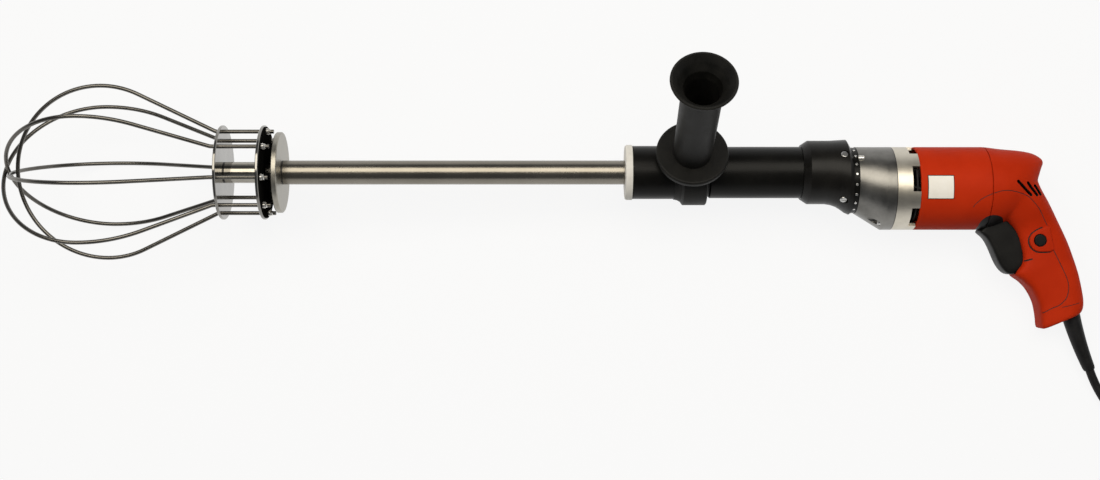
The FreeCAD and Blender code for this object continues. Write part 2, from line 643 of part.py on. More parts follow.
field_spots = [(-17, 24), (17, 24), (-17, -24), (17, -24)]
ring_of_holes(field, "YZ_Plane", field_spots, 4)
coils = []
for side in (1, -1):
    legs = [Part.makeCylinder(3.9, value("field_length"),
                              MOTOR + V(value("field_front"), y, side * 24), X_AXIS)
            for y in (-17, 17)]
    for station, deep in ((value("field_front") - 6, 6), (value("field_back"), 6)):
        bar = Part.makeBox(deep, 41, 7.8, MOTOR + V(station, -20.5, side * 24 - 3.9))
        legs.append(bar)
    coil = legs[0]
    for item in legs[1:]:
        coil = coil.fuse(item)
    coils.append(coil.removeSplitter())
solid("field_coils", Part.makeCompound(coils))
turned("armature_core", [
    (["field_front", 2], 5), (["field_front", 2], "rotor_radius"),
    (["field_back", -2], "rotor_radius"), (["field_back", -2], 5)], on_motor)
ring_of_holes(nodes["armature_core"][0], "YZ_Plane", [(0, ["rotor_radius", -0.4])], 2.6, 12)
turned("commutator", [
    (["field_back", 2], 5), (["field_back", 2], 13), (["field_back", 4], 13),
    (["field_back", 4], 11), (["field_back", 16], 11), (["field_back", 16], 5)], on_motor)
armature = turned("armature_base", [
    (["case_seam", -1.5], 0), (["case_seam", -1.5], 3.5), (["plate_back", 4], 3.5),
    (["plate_back", 4], 5), (["wall_front", -0.5], 5), (["wall_front", -0.5], 3.5),
    (["housing_back", 7], 3.5), (["housing_back", 7], 0)], sub_part=False)
armature_pinion = doc.addObject("Part::Feature", "armature_pinion")
armature_pinion.Shape = gear_solid(stage_one, small, to_motor + math.pi + math.pi / small,
                                   V(seam - 12.5, 0, 0), 11)
keep(joined("armature_shaft", [armature, armature_pinion]), "armature_shaft", on_motor)
fan_hub = turned("fan_hub", [
    (["plate_back", 5], 5), (["plate_back", 5], 9), (["plate_back", 15], 9),
    (["plate_back", 15], 37), (["plate_back", 16.6], 37), (["plate_back", 16.6], 5)],
    sub_part=False)
blades = [fan_hub]
for number in range(12):
    turn = FreeCAD.Rotation(X_AXIS, 30 * number)
    corner = V(value("plate_back") + 6, -0.7, 8)
    blades.append(block("fan_blade_%d" % number, (10, 1.4, 28.5), turn.multVec(corner), turn))
keep(joined("fan", blades), "fan", on_motor)
outers = []
inners = []
for front in (value("case_seam"), value("housing_back") + 1):
    outer_ring, inner_ring = bearing(V(front, 0, 0), 6, 3.5, 5.1, 8.1, 9.5, 7)
    outers.append(outer_ring)
    inners.append(inner_ring)
solid("armature_bearing_outers", Part.makeCompound(outers), on_motor)
solid("armature_bearing_inners", Part.makeCompound(inners), on_motor)
holders = []
brushes = []
for side in (1, -1):
    front = value("field_back") + 6
    deep = value("wall_front") - front
    low = 12.5 if side > 0 else -30
    box = Part.makeBox(deep, 17.5, 12, MOTOR + V(front, low, -6))
    slot = Part.makeBox(7, 40, 8, MOTOR + V(front + 1.5, -20 + side * 20, -4))
    holders.append(box.cut(slot))
    near = 11.1 if side > 0 else -29
    brushes.append(Part.makeBox(7, 17.9, 8, MOTOR + V(front + 1.5, near, -4)))
solid("brush_holders", Part.makeCompound(holders))
solid("carbon_brushes", Part.makeCompound(brushes))

# Label plate: thin bare plate curved to the housing's near side.
label_spot = MOTOR + V(396 - value("label_width") / 2, 0, 0)
label_ring = rod("label_ring", ["case_radius", "label_thickness"], "label_width", label_spot, X_AXIS)
label_void = rod("label_void", "case_radius", ["label_width", 2], label_spot - V(1, 0, 0), X_AXIS)
label_shell = cut("label_shell", label_ring, [label_void])
label_box = block("label_box", ("label_width", 60, "label_height"),
                  label_spot - V(0, 60, value("label_height") / 2))
label_plate = doc.addObject("Part::MultiCommon", "label_plate")
label_plate.Shapes = [label_shell, label_box]
keep(label_plate, "label_plate")

# Handle. Sections across the motor end (station, top, bottom, half width) and sections across
# the grip (front point, back point, half width), stations counted from the motor housing's end.
BACK = value("housing_back")
DOME = [
    (0, 26.4, -59.6, 43), (18, 24.2, -54, 40.5), (38, 22.4, -42, 33), (51, 19.8, -20, 22.5),
    (59, 15.6, 1.5, 12), (62.3, 12.5, 7, 4.5)]
GRIP = [
    ((11, -16), (56.5, -2.5), 22), ((15, -30), (60.4, -16), 27), ((19, -46), (68, -30), 23.5),
    ((32.8, -61), (76.4, -46.3), 20.5), ((40, -80), (86, -65), 19.4), ((35, -106), (94.5, -87), 19.6),
    ((45, -119.5), (100.3, -108), 19),
    ((52, -135), (103.9, -127), 18.5), ((56.5, -150), (103.5, -142), 18),
    ((60, -159.5), (99, -149), 15)]


def section(centre, along_axis, half, width, power):
    """Closed smooth section: a super-ellipse about a centre, across the tool in Y."""
    spots = []
    for number in range(20):
        angle = 2 * math.pi * number / 20
        c = math.cos(angle)
        s = math.sin(angle)
        u = math.copysign(abs(c) ** (2 / power), c) * half
        v = math.copysign(abs(s) ** (2 / power), s) * width
        spots.append(centre + along_axis * u + V(0, v, 0))
    curve = Part.BSplineCurve()
    curve.interpolate(Points=spots, PeriodicFlag=True)
    return Part.Wire(curve.toShape())


def dome_solid(inset):
    hoops = []
    for station, top, bottom, width in DOME:
        shift = -0.5 if inset and station == 0 else 0
        station = station - (inset if station > 60 else 0)
        half = max((top - bottom) / 2 - inset, 1.5)
        hoops.append(section(V(BACK + station + shift, 0, (top + bottom) / 2), V(0, 0, 1), half,
                             max(width - inset, 1.5), 2))
    return Part.makeLoft(hoops, True, False)


def grip_solid(inset):
    hoops = []
    for front, back, width in GRIP:
        a = V(BACK + front[0], 0, front[1])
        b = V(BACK + back[0], 0, back[1])
        run = (b - a).normalize()
        lift = V(-run.z, 0, run.x) * (inset if front is GRIP[-1][0] else 0)
        hoops.append(section((a + b) / 2 + lift, run, (b - a).Length / 2 - inset, width - inset, 2.5))
    return Part.makeLoft(hoops, True, False)


wall = value("handle_wall")
outer_form = dome_solid(0).fuse(grip_solid(0))
inner_form = dome_solid(wall).fuse(grip_solid(wall))
shell = outer_form.cut(inner_form)

pull = math.radians(value("trigger_angle"))
PULL = V(math.cos(pull), 0, math.sin(pull))
DOWN = V(math.sin(pull), 0, -math.cos(pull))
TRIGGER = [
    (-5.5, -61.8), (-2, -64.4), (3.7, -69), (9.3, -80.3), (14.8, -95), (22, -104.4), (28, -106.2),
    (33, -104), (41, -97), (46, -88), (40.5, -68), (33, -54), (24, -46.5), (14, -44), (6, -49.5),
    (-1, -57.5)]


def trigger_wire(grow, y):
    """Smooth trigger outline, moved outwards by a margin, at one place across the tool."""
    spots = [V(BACK + x, 0, z) for x, z in TRIGGER]
    moved = []
    for number, here in enumerate(spots):
        run = (spots[(number + 1) % len(spots)] - spots[number - 1]).normalize()
        moved.append(here + V(run.z, 0, -run.x) * grow + V(0, y, 0))
    curve = Part.BSplineCurve()
    curve.interpolate(Points=moved, PeriodicFlag=True)
    return Part.Wire(curve.toShape())


half_width = value("trigger_width") / 2
travel = value("trigger_travel")
# The slot clears the trigger all round, and its rear side is moved in by the trigger's travel.
outline = trigger_wire(0, 0).discretize(Number=97)[:-1]
slot_spots = []
for number, here in enumerate(outline):
    run = (outline[(number + 1) % len(outline)] - outline[number - 1]).normalize()
    out = V(run.z, 0, -run.x)
    slot_spots.append(here + out * 0.8 + (PULL * travel if out.dot(PULL) > 0 else V()))
slot = Part.Face(Part.makePolygon(slot_spots + [slot_spots[0]]))
slot.translate(V(0, -half_width - 0.6, 0))
slot = slot.extrude(V(0, 2 * half_width + 1.2, 0))
slot_tool = doc.addObject("Part::Feature", "trigger_slot")
slot_tool.Shape = slot
keep(cut("motor_housing", motor_base, [slot_tool]), "motor_housing")

# Ribs hold the switch, bosses take the screws; all stop at the handle's outer form.
SWITCH = V(BACK + 70, 0, -66)
button_spot = V(BACK + 54.2, 0, -70.5)
extras = []
for end in (-19, 16):
    rib = Part.makeBox(24, 80, 3, V(-12, -40, 0))
    rib.Placement = FreeCAD.Placement(SWITCH + DOWN * end, FreeCAD.Rotation(PULL, V(0, 1, 0), DOWN))
    extras.append(rib.common(outer_form))
bosses = ((29, 12, 22), (88, -97, 11), (71, -143, 14))
for x, z, deep in bosses:
    post = Part.makeCylinder(4.5, 100, V(BACK + x, -50, z), V(0, 1, 0))
    extras.append(post.common(outer_form))
for item in extras:
    shell = shell.fuse(item)
switch_box = Part.makeBox(16.5, 18, 34, V(-10, -9, -17))
switch_box.Placement = FreeCAD.Placement(SWITCH, FreeCAD.Rotation(PULL, V(0, 1, 0), DOWN))
switch_hole = Part.makeCylinder(3.3, 16, SWITCH - PULL * 11, PULL)
shell = shell.cut(switch_box).cut(slot)
for x, z, deep in bosses:
    shell = shell.cut(Part.makeCylinder(1.6, deep + 8, V(BACK + x, -8, z), V(0, 1, 0)))
    shell = shell.cut(Part.makeCylinder(3.5, 40, V(BACK + x, deep, z), V(0, 1, 0)))
shell = shell.cut(Part.makeCylinder(value("button_radius") + 0.1, 30, button_spot - V(0, 34, 0),
                                    V(0, 1, 0)))
shell = shell.cut(Part.makeCylinder(7.6, 8, button_spot - V(0, 16, 0), V(0, 1, 0)))
for start, stop in (((26.7, -10.5), (41.6, -24.1)), ((38.2, -11.9), (48.5, -24.1)),
                    ((47, -14.6), (53, -23.4))):
    a = V(BACK + start[0], 0, start[1])
    b = V(BACK + stop[0], 0, stop[1])
    run = (b - a).normalize()
    vent = Part.makeBox((b - a).Length, 100, 3, V(0, -50, -1.5))
    vent.Placement = FreeCAD.Placement(a, FreeCAD.Rotation(run, V(0, 1, 0), V(-run.z, 0, run.x)))
    shell = shell.cut(vent)

# The lead leaves the grip's end through a round hole along the grip.
lead_tilt = math.radians(18.5)
LEAD = V(math.sin(lead_tilt), 0, -math.cos(lead_tilt))
lead_spot = V(BACK + 93, 0, -148)
shell = shell.cut(Part.makeCylinder(value("relief_radius"), 30, lead_spot - LEAD * 15, LEAD))
for label, low in (("handle_left", 0), ("handle_right", -100)):
    half = shell.common(Part.makeBox(300, 100, 400, V(BACK - 20, low, -250)))
    solid(label, max(half.Solids, key=lambda item: item.Volume))
handle_screws = []
for x, z, deep in bosses:
    shank = Part.makeCylinder(1.6, deep + 8, V(BACK + x, -8, z), V(0, 1, 0))
    head = Part.makeCylinder(3.2, 2, V(BACK + x, deep, z), V(0, 1, 0))
    key = Part.makeBox(4, 1.4, 0.8, V(BACK + x - 2, deep + 0.6, z - 0.4))
    handle_screws.append(shank.fuse(head).cut(key).removeSplitter())
solid("handle_screws", Part.makeCompound(handle_screws))
solid("switch_body", switch_box.cut(switch_hole))

layers = ((-3, -1), (-1, -0.9), (0, -0.72), (0, 0.72), (-1, 0.9), (-3, 1))
paddle = Part.makeLoft([trigger_wire(grow, y * half_width) for grow, y in layers], True, True)
paddle = paddle.fuse(Part.makeCylinder(3, 26, SWITCH - PULL * 33, PULL))
solid("trigger", paddle.removeSplitter())

button = Part.makeCylinder(value("button_radius"), 7.4, button_spot - V(0, 22.4, 0), V(0, 1, 0))
button = button.makeFillet(1.2, [edge for edge in button.Edges if edge.CenterOfMass.y < -22])
brim = Part.makeCylinder(7.1, 1, button_spot - V(0, 15.7, 0), V(0, 1, 0))
solid("lock_button", button.fuse(brim).removeSplitter())

# Side handle, built along X as the distance from the shaft axis and then swung to its angle.
swing = math.radians(value("handle_angle"))
HANDLE = V(0, -math.cos(swing), math.sin(swing))
clamp_front = ["nose_shoulder", 0.1]
clamp_back = ["tube_front", -2.5]
clamp_middle = (value(clamp_front) + value(clamp_back)) / 2
clamp_bore = ["clamp_seat_radius", 0.05]
clamp_ring = turned("clamp_ring", [
    (clamp_front, clamp_bore), (clamp_front, ["nose_radius", 0.6]),
    (["nose_shoulder", 4], ["nose_radius", 1.4]), (["nose_shoulder", 7], ["nose_radius", 3]),
    (["nose_shoulder", 9.5], "clamp_radius"), (["tube_front", -3.6], "clamp_radius"),
    (clamp_back, ["clamp_radius", -1.1]), (clamp_back, clamp_bore)], sub_part=False)
guard_base = value("clamp_radius") + 1
boss = rod("clamp_boss", 15, 9, V(clamp_middle, 0, 0) + HANDLE * (guard_base - 9), HANDLE)
tap = rod("clamp_tap", ["stud_radius", 0.06], 30, V(clamp_middle, 0, 0) + HANDLE * 20, HANDLE)
clamp_core = rod("clamp_core", clamp_bore, 40, V(value(clamp_front) - 2, 0, 0), X_AXIS)
clamp_body = joined("clamp_body", [clamp_ring, boss])
keep(cut("handle_clamp", clamp_body, [tap, clamp_core]), "handle_clamp")
swung = FreeCAD.Placement(V(clamp_middle, 0, 0), FreeCAD.Rotation(X_AXIS, HANDLE))
guard_face = ["clamp_radius", 1.05]
guard_top = ["clamp_radius", 1.05, "guard_thickness"]
guard = turned("grip_guard", [
    (guard_face, "stud_radius"), (guard_face, "guard_radius"), (guard_top, "guard_radius"),
    (guard_top, "stud_radius")], swung)
soften(guard, [(guard_face, "guard_radius"), (guard_top, "guard_radius")], 2.4)
bore = ["side_grip_radius", "-side_grip_wall"]
flare_start = ["side_grip_end", "-flare_length"]
side_grip = turned("side_grip", [
    (guard_top, "stud_radius"), (guard_top, ["side_grip_radius", -0.4]),
    (["clamp_radius", 30], "side_grip_radius"), (flare_start, ["side_grip_radius", 0.3]),
    (["side_grip_end", -13], ["side_grip_radius", 2.6]),
    (["side_grip_end", -7], ["flare_radius", -4.6]), (["side_grip_end", -3], ["flare_radius", -0.8]),
    (["side_grip_end", -1], "flare_radius"), ("side_grip_end", ["flare_radius", -1]),
    ("side_grip_end", ["flare_radius", -2.6]), (["side_grip_end", -6], ["flare_radius", -7.8]),
    (["side_grip_end", -14], ["side_grip_radius", -1]), (["side_grip_end", -24], bore),
    (["clamp_radius", 21], bore), (["clamp_radius", 21], 0), (["clamp_radius", 18], 0),
    (["clamp_radius", 18], "stud_radius")], swung)
turned("clamp_stud", [
    (["clamp_seat_radius", 0.12], 0), (["clamp_seat_radius", 0.12], ["stud_radius", -1]),
    (["clamp_seat_radius", 1.12], "stud_radius"), (["clamp_radius", 18], "stud_radius"),
    (["clamp_radius", 18], 0)], swung)

# Strain relief: tapered sleeve with a retaining collar inside the grip, built along X.
leaving = FreeCAD.Placement(lead_spot, FreeCAD.Rotation(X_AXIS, LEAD))
turned("strain_relief", [
    (-11, 0), (-11, 10.5), (-8, 10.5), (-8, "relief_radius"), (6, "relief_radius"),
    ("relief_length", "relief_tip_radius"), ("relief_length", 0)], leaving)
doc.recompute()

# Rest pose: the tool lies on its side, tilted and rolled until whisk, motor housing and the
# grip's end all touch the floor.
contact = {}
for key, labels in (("whisk", ["wire_loop_%d" % n for n in range(1, 5)]),
                    ("motor", ["motor_housing", "gear_case", "bearing_plate"]),
                    ("grip", ["handle_left", "handle_right"])):
    spots = []
    for label in labels:
        obj, local = nodes[label]
        spots += [local.multVec(p) for p in obj.Shape.tessellate(0.15)[0]]
    contact[key] = spots
tilt = 0.05
roll = 0.15
for attempt in range(25):
    lying = FreeCAD.Rotation(V(0, 1, 0), math.degrees(tilt)).multiply(
        FreeCAD.Rotation(X_AXIS, math.degrees(roll) - 90))
    low = {key: min(lying.multVec(p).z for p in spots) for key, spots in contact.items()}
    tilt += (low["motor"] - low["whisk"]) / 880
    roll += (low["grip"] - low["motor"]) / 140
corner_low = V(1e9, 1e9, 1e9)
corner_high = V(-1e9, -1e9, -1e9)
for label, (obj, local) in nodes.items():
    for p in obj.Shape.tessellate(0.15)[0]:
        q = lying.multVec(local.multVec(p))
        corner_low = V(min(corner_low.x, q.x), min(corner_low.y, q.y), min(corner_low.z, q.z))
        corner_high = V(max(corner_high.x, q.x), max(corner_high.y, q.y), max(corner_high.z, q.z))
shift = V(-(corner_low.x + corner_high.x) / 2, -(corner_low.y + corner_high.y) / 2, -corner_low.z)
REST = FreeCAD.Placement(shift, lying)
print("tilt %.7f roll %.7f shift %s" % (math.degrees(tilt), math.degrees(roll), shift))
print("contacts", {key: round(z + shift.z, 3) for key, z in low.items()})
print("size", corner_high - corner_low)
for obj, local in nodes.values():
    obj.Placement = REST.multiply(local)


# Mains lead, laid out on the floor: free stretch, coil in two layers, tail and plug.
def soft_route(points):
    """Straight runs joined by tangent arcs; returns the wire and the arc radii."""
    edges = []
    radii = []
    last = points[0]
    for before, here, after in zip(points, points[1:], points[2:]):
        a = (before - here).normalize()
        b = (after - here).normalize()
        half = math.acos(max(-1, min(1, -a.dot(b)))) / 2
        cutoff = 0.45 * min((before - here).Length, (after - here).Length)
        radius = cutoff / math.tan(half)
        radii.append(radius)
        start = here + a * cutoff
        stop = here + b * cutoff
        middle = (a + b).normalize()
        tip = here + middle * (radius / math.cos(half) - radius)
        edges.append(Part.makeLine(last, start))
        edges.append(arc_through(start, tip, stop))
        last = stop
    edges.append(Part.makeLine(last, points[-1]))
    return Part.Wire(edges), radii


def cord_tube(wire, start, direction):
    ring = Part.Wire(Part.Circle(start, direction, value("cord_radius")).toShape())
    return wire.makePipeShell([ring], True, False)


cord = value("cord_radius")
floor = cord + value("tie_thickness") + 0.05
lead_run = REST.Rotation.multVec(LEAD)
start = REST.multVec(lead_spot + LEAD * value("relief_length"))
p1 = start + lead_run * 24
p2 = V(p1.x + 27, p1.y - 36, floor)
into = V(math.sqrt(0.5), -math.sqrt(0.5), 0)
p3 = p2 + into * 40
lead_wire, lead_radii = soft_route([start, p1, p2, p3])
solid("cord_lead", cord_tube(lead_wire, start, lead_run))

radius = value("coil_radius")
step = value("coil_pitch") / 2
side = V(-math.sqrt(0.5), -math.sqrt(0.5), 0)
turn_edges = []
here = p3
sense = 1
radii_list = [radius - step * k for k in range(7)]
climb_radius = radius - step * 7
radii_list += [climb_radius] + [climb_radius + step * (k + 1) for k in range(6)]
for number, r in enumerate(radii_list):
    centre = here - side * r * sense
    rise = V(0, 0, value("coil_pitch") / 2) if number == 7 else V()
    forward = V(-side.y, side.x, 0) * sense
    lean = (-side * sense * r + rise)
    centre = here + lean * (r / lean.Length) if number == 7 else centre
    across = (centre - here) * 2
    end = here + across
    turn_edges.append(arc_through(here, centre + forward * r, end))
    here = end
    sense = -sense
coil_wire = Part.Wire(turn_edges)
solid("cord_coil", cord_tube(coil_wire, p3, into))
print("coil length %.1f top %.2f" % (coil_wire.Length, here.z))
spots = coil_wire.discretize(Distance=3)
gap = 1e9
for i in range(len(spots)):
    for j in range(i + 12, len(spots)):
        gap = min(gap, (spots[i] - spots[j]).Length)
print("least gap in the coil %.3f" % (gap - 2 * cord))

plug_z = value("plug_height") / 2
t1 = here + into * 34
t2 = t1 + V(36, -21, plug_z - here.z)
t3 = t2 + V(34, -9, 0)
tail_wire, tail_radii = soft_route([here, t1, t2, t3])
solid("cord_tail", cord_tube(tail_wire, here, into))
print("bend radii", [round(r, 1) for r in lead_radii + tail_radii])
print("lead length %.1f" % (value("relief_length") + lead_wire.Length + coil_wire.Length
                            + tail_wire.Length))
for label, wire in (("cord_lead", lead_wire), ("cord_coil", coil_wire), ("cord_tail", tail_wire)):
    print(label, "volume ratio %.4f" % (nodes[label][0].Shape.Volume
                                        / (math.pi * cord ** 2 * wire.Length)))
coil_middle = p3 - side * radius
strap_run = V(math.sqrt(0.5), -math.sqrt(0.5), 0)
thick = value("tie_thickness")
inside = climb_radius - cord - 2.5
outside = radius + cord + 2.5
high = 2 * cord + value("coil_pitch") + 0.4
strap = Part.makeBox(outside - inside + 2 * thick, value("tie_width"), high + 2 * thick,
                     V(inside - thick, -value("tie_width") / 2, 0))
hollow = Part.makeBox(outside - inside, value("tie_width"), high,
                      V(inside, -value("tie_width") / 2, thick))
strap = strap.makeFillet(2.2, [edge for edge in strap.Edges
                               if abs(edge.CenterOfMass.y) < 0.01])
strap = strap.cut(hollow)
strap.Placement = FreeCAD.Placement(V(coil_middle.x, coil_middle.y, 0),
                                    FreeCAD.Rotation(X_AXIS, strap_run))
solid("cord_tie", strap)

plug_run = (t3 - t2).normalize()
plug_place = FreeCAD.Placement(t3, FreeCAD.Rotation(plug_run, V(0, 0, 1).cross(plug_run), V(0, 0, 1)))
long = value("plug_length")
plug = Part.makeBox(long - 14, value("plug_width"), value("plug_height"),
                    V(14, -value("plug_width") / 2, -value("plug_height") / 2))
plug = plug.makeFillet(7, [edge for edge in plug.Edges
                           if abs(edge.CenterOfMass.x - 7 - long / 2) < 0.1])
plug = plug.makeFillet(2, [edge for edge in plug.Edges if edge.CenterOfMass.x < 14.1])
plug = plug.fuse(Part.makeCone(6.5, 10, 16, V(0, 0, 0), X_AXIS)).removeSplitter()
plug_pins = []
for y in (-0.5, 0.5):
    spot = V(long, y * value("plug_pin_spacing"), 0)
    pin = Part.makeCylinder(value("plug_pin_radius"), value("plug_pin_length"), spot, X_AXIS)
    plug_pins.append(pin.makeFillet(1.4, [edge for edge in pin.Edges
                                          if edge.CenterOfMass.x > spot.x + 18]))
plug_obj = solid("plug_body", plug)
pins_obj = solid("plug_pins", Part.makeCompound(plug_pins))
plug_obj.Placement = plug_place
pins_obj.Placement = plug_place
pin_spots = [plug_place.multVec(V(long + 8.8, y * value("plug_pin_spacing"), 0)) for y in (-0.5, 0.5)]
print('plug {"a": %s, "b": %s, "run": %s}' % (list(pin_spots[0]), list(pin_spots[1]), list(plug_run)))

# Last checks, then one file per sub-part.
doc.recompute()
for obj in doc.Objects:
    bad = [state for state in obj.State if state in ("Invalid", "Error")]
    if bad:
        raise RuntimeError("%s is %s" % (obj.Label, bad))
os.makedirs("parts", exist_ok=True)
for label, (obj, local) in nodes.items():
    shape = obj.Shape
    if shape.isNull() or not shape.isValid() or shape.Volume <= 0:
        raise RuntimeError("bad shape: " + label)
    shape.exportStep("parts/%s.step" % label)
print(len(nodes), "sub-parts")
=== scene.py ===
import json
import math

import bpy
from mathutils import Matrix, Vector
from mathutils.bvhtree import BVHTree


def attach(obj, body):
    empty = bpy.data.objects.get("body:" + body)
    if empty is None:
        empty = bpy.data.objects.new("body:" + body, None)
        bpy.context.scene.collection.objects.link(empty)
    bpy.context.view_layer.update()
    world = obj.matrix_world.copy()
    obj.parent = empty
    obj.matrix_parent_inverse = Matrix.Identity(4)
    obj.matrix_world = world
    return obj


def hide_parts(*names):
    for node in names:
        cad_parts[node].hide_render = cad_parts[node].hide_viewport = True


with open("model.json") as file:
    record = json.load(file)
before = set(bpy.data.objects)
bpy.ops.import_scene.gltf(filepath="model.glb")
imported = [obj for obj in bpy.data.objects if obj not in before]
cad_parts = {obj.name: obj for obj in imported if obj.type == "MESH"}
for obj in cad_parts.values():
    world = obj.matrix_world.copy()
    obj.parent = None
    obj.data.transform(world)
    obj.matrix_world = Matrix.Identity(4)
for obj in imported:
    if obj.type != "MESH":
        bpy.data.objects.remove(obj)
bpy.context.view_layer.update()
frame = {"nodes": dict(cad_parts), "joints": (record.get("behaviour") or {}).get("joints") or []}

bpy.ops.object.select_all(action="DESELECT")


# The whisk: four nested loops of round stainless wire, polished, with their legs welded into two
# stainless discs that a hub joins. It is the working end of the mixer.
# The tool lies on its side, so its own frame has X along the shaft and Y away from the camera.
joints = {joint["name"]: joint for joint in frame["joints"]}
shaft_line = Vector(joints["output_spin"]["axis"]).normalized()
far_side = Vector(joints["lock_press"]["axis"]).normalized()
crown = shaft_line.cross(far_side).normalized()
tool = Matrix((shaft_line, far_side, crown)).transposed().to_4x4()
tool.translation = Vector(joints["output_spin"]["pos_m"])


def spot(x, y, z):
    """A point given in millimetres in the tool's own frame."""
    return tool @ Vector((x / 1000, y / 1000, z / 1000))


def shading_group(name, inputs, outputs):
    """An empty node group with named inputs (name, kind, default) and outputs (name, kind)."""
    group = bpy.data.node_groups.new(name, "ShaderNodeTree")
    for label, kind, default in inputs:
        socket = group.interface.new_socket(label, in_out="INPUT", socket_type=kind)
        if default is not None:
            socket.default_value = default
    for label, kind in outputs:
        group.interface.new_socket(label, in_out="OUTPUT", socket_type=kind)
    start = group.nodes.new("NodeGroupInput")
    end = group.nodes.new("NodeGroupOutput")
    return group, start, end


# Cloudy tone: two sizes of noise that lighten and darken a colour and vary its gloss.
cloud, cloud_in, cloud_out = shading_group(
    "cloudy_tone",
    [("Vector", "NodeSocketVector", None), ("Dark", "NodeSocketColor", (0, 0, 0, 1)),
     ("Light", "NodeSocketColor", (1, 1, 1, 1)), ("Size", "NodeSocketFloat", 40.0),
     ("Smooth", "NodeSocketFloat", 0.3), ("Rough", "NodeSocketFloat", 0.5)],
    [("Color", "NodeSocketColor"), ("Roughness", "NodeSocketFloat"), ("Mask", "NodeSocketFloat")])
broad = cloud.nodes.new("ShaderNodeTexNoise")
broad.inputs["Detail"].default_value = 5.0
broad.inputs["Roughness"].default_value = 0.62
spread = cloud.nodes.new("ShaderNodeMapRange")
spread.inputs["From Min"].default_value = 0.3
spread.inputs["From Max"].default_value = 0.7
blend = cloud.nodes.new("ShaderNodeMix")
blend.data_type = "RGBA"
gloss = cloud.nodes.new("ShaderNodeMapRange")
cloud.links.new(cloud_in.outputs["Vector"], broad.inputs["Vector"])
cloud.links.new(cloud_in.outputs["Size"], broad.inputs["Scale"])
cloud.links.new(broad.outputs["Fac"], spread.inputs["Value"])
cloud.links.new(spread.outputs["Result"], blend.inputs["Factor"])
cloud.links.new(cloud_in.outputs["Dark"], blend.inputs["A"])
cloud.links.new(cloud_in.outputs["Light"], blend.inputs["B"])
cloud.links.new(spread.outputs["Result"], gloss.inputs["Value"])
cloud.links.new(cloud_in.outputs["Smooth"], gloss.inputs["To Min"])
cloud.links.new(cloud_in.outputs["Rough"], gloss.inputs["To Max"])
cloud.links.new(blend.outputs["Result"], cloud_out.inputs["Color"])
cloud.links.new(gloss.outputs["Result"], cloud_out.inputs["Roughness"])
cloud.links.new(spread.outputs["Result"], cloud_out.inputs["Mask"])

# Machine lines: noise drawn out into long threads, as polishing, turning and brushing leave.
lines, lines_in, lines_out = shading_group(
    "machine_lines",
    [("Vector", "NodeSocketVector", None), ("Fineness", "NodeSocketFloat", 400.0)],
    [("Height", "NodeSocketFloat")])
threads = lines.nodes.new("ShaderNodeTexNoise")
threads.inputs["Detail"].default_value = 3.0
threads.inputs["Roughness"].default_value = 0.7
lines.links.new(lines_in.outputs["Vector"], threads.inputs["Vector"])
lines.links.new(lines_in.outputs["Fineness"], threads.inputs["Scale"])
lines.links.new(threads.outputs["Fac"], lines_out.inputs["Height"])


def surface(name, dark, light, size, smooth, rough, metallic=0.0, stretch=(1, 1, 1), fineness=400.0,
            depth=0.1, height=0.0002, specular=0.5):
    """A finish: cloudy colour and gloss over lines or grain, laid in the tool's own frame."""
    material = bpy.data.materials.new(name)
    material.use_nodes = True
    nodes = material.node_tree.nodes
    links = material.node_tree.links
    shader = nodes["Principled BSDF"]
    shader.inputs["Metallic"].default_value = metallic
    shader.inputs["Specular IOR Level"].default_value = specular
    place = nodes.new("ShaderNodeTexCoord")
    lay = nodes.new("ShaderNodeMapping")
    lay.name = "tool_frame"
    lay.vector_type = "TEXTURE"
    lay.inputs["Location"].default_value = tool.translation
    lay.inputs["Rotation"].default_value = tool.to_euler()
    links.new(place.outputs["Object"], lay.inputs["Vector"])
    tone = nodes.new("ShaderNodeGroup")
    tone.node_tree = cloud
    tone.inputs["Dark"].default_value = (*dark, 1)
    tone.inputs["Light"].default_value = (*light, 1)
    tone.inputs["Size"].default_value = size
    tone.inputs["Smooth"].default_value = smooth
    tone.inputs["Rough"].default_value = rough
    links.new(lay.outputs["Vector"], tone.inputs["Vector"])
    links.new(tone.outputs["Color"], shader.inputs["Base Color"])
    links.new(tone.outputs["Roughness"], shader.inputs["Roughness"])
    draw = nodes.new("ShaderNodeMapping")
    draw.inputs["Scale"].default_value = stretch
    links.new(lay.outputs["Vector"], draw.inputs["Vector"])
    grain = nodes.new("ShaderNodeGroup")
    grain.node_tree = lines
    grain.inputs["Fineness"].default_value = fineness
    links.new(draw.outputs["Vector"], grain.inputs["Vector"])
    bump = nodes.new("ShaderNodeBump")
    bump.inputs["Strength"].default_value = depth
    bump.inputs["Distance"].default_value = height
    links.new(grain.outputs["Height"], bump.inputs["Height"])
    links.new(bump.outputs["Normal"], shader.inputs["Normal"])
    return material


def dress(material, *names):
    """Gives CAD nodes a finish in place of their plain one."""
    for name in names:
        slots = frame["nodes"][name].data.materials
        slots.clear()
        slots.append(material)


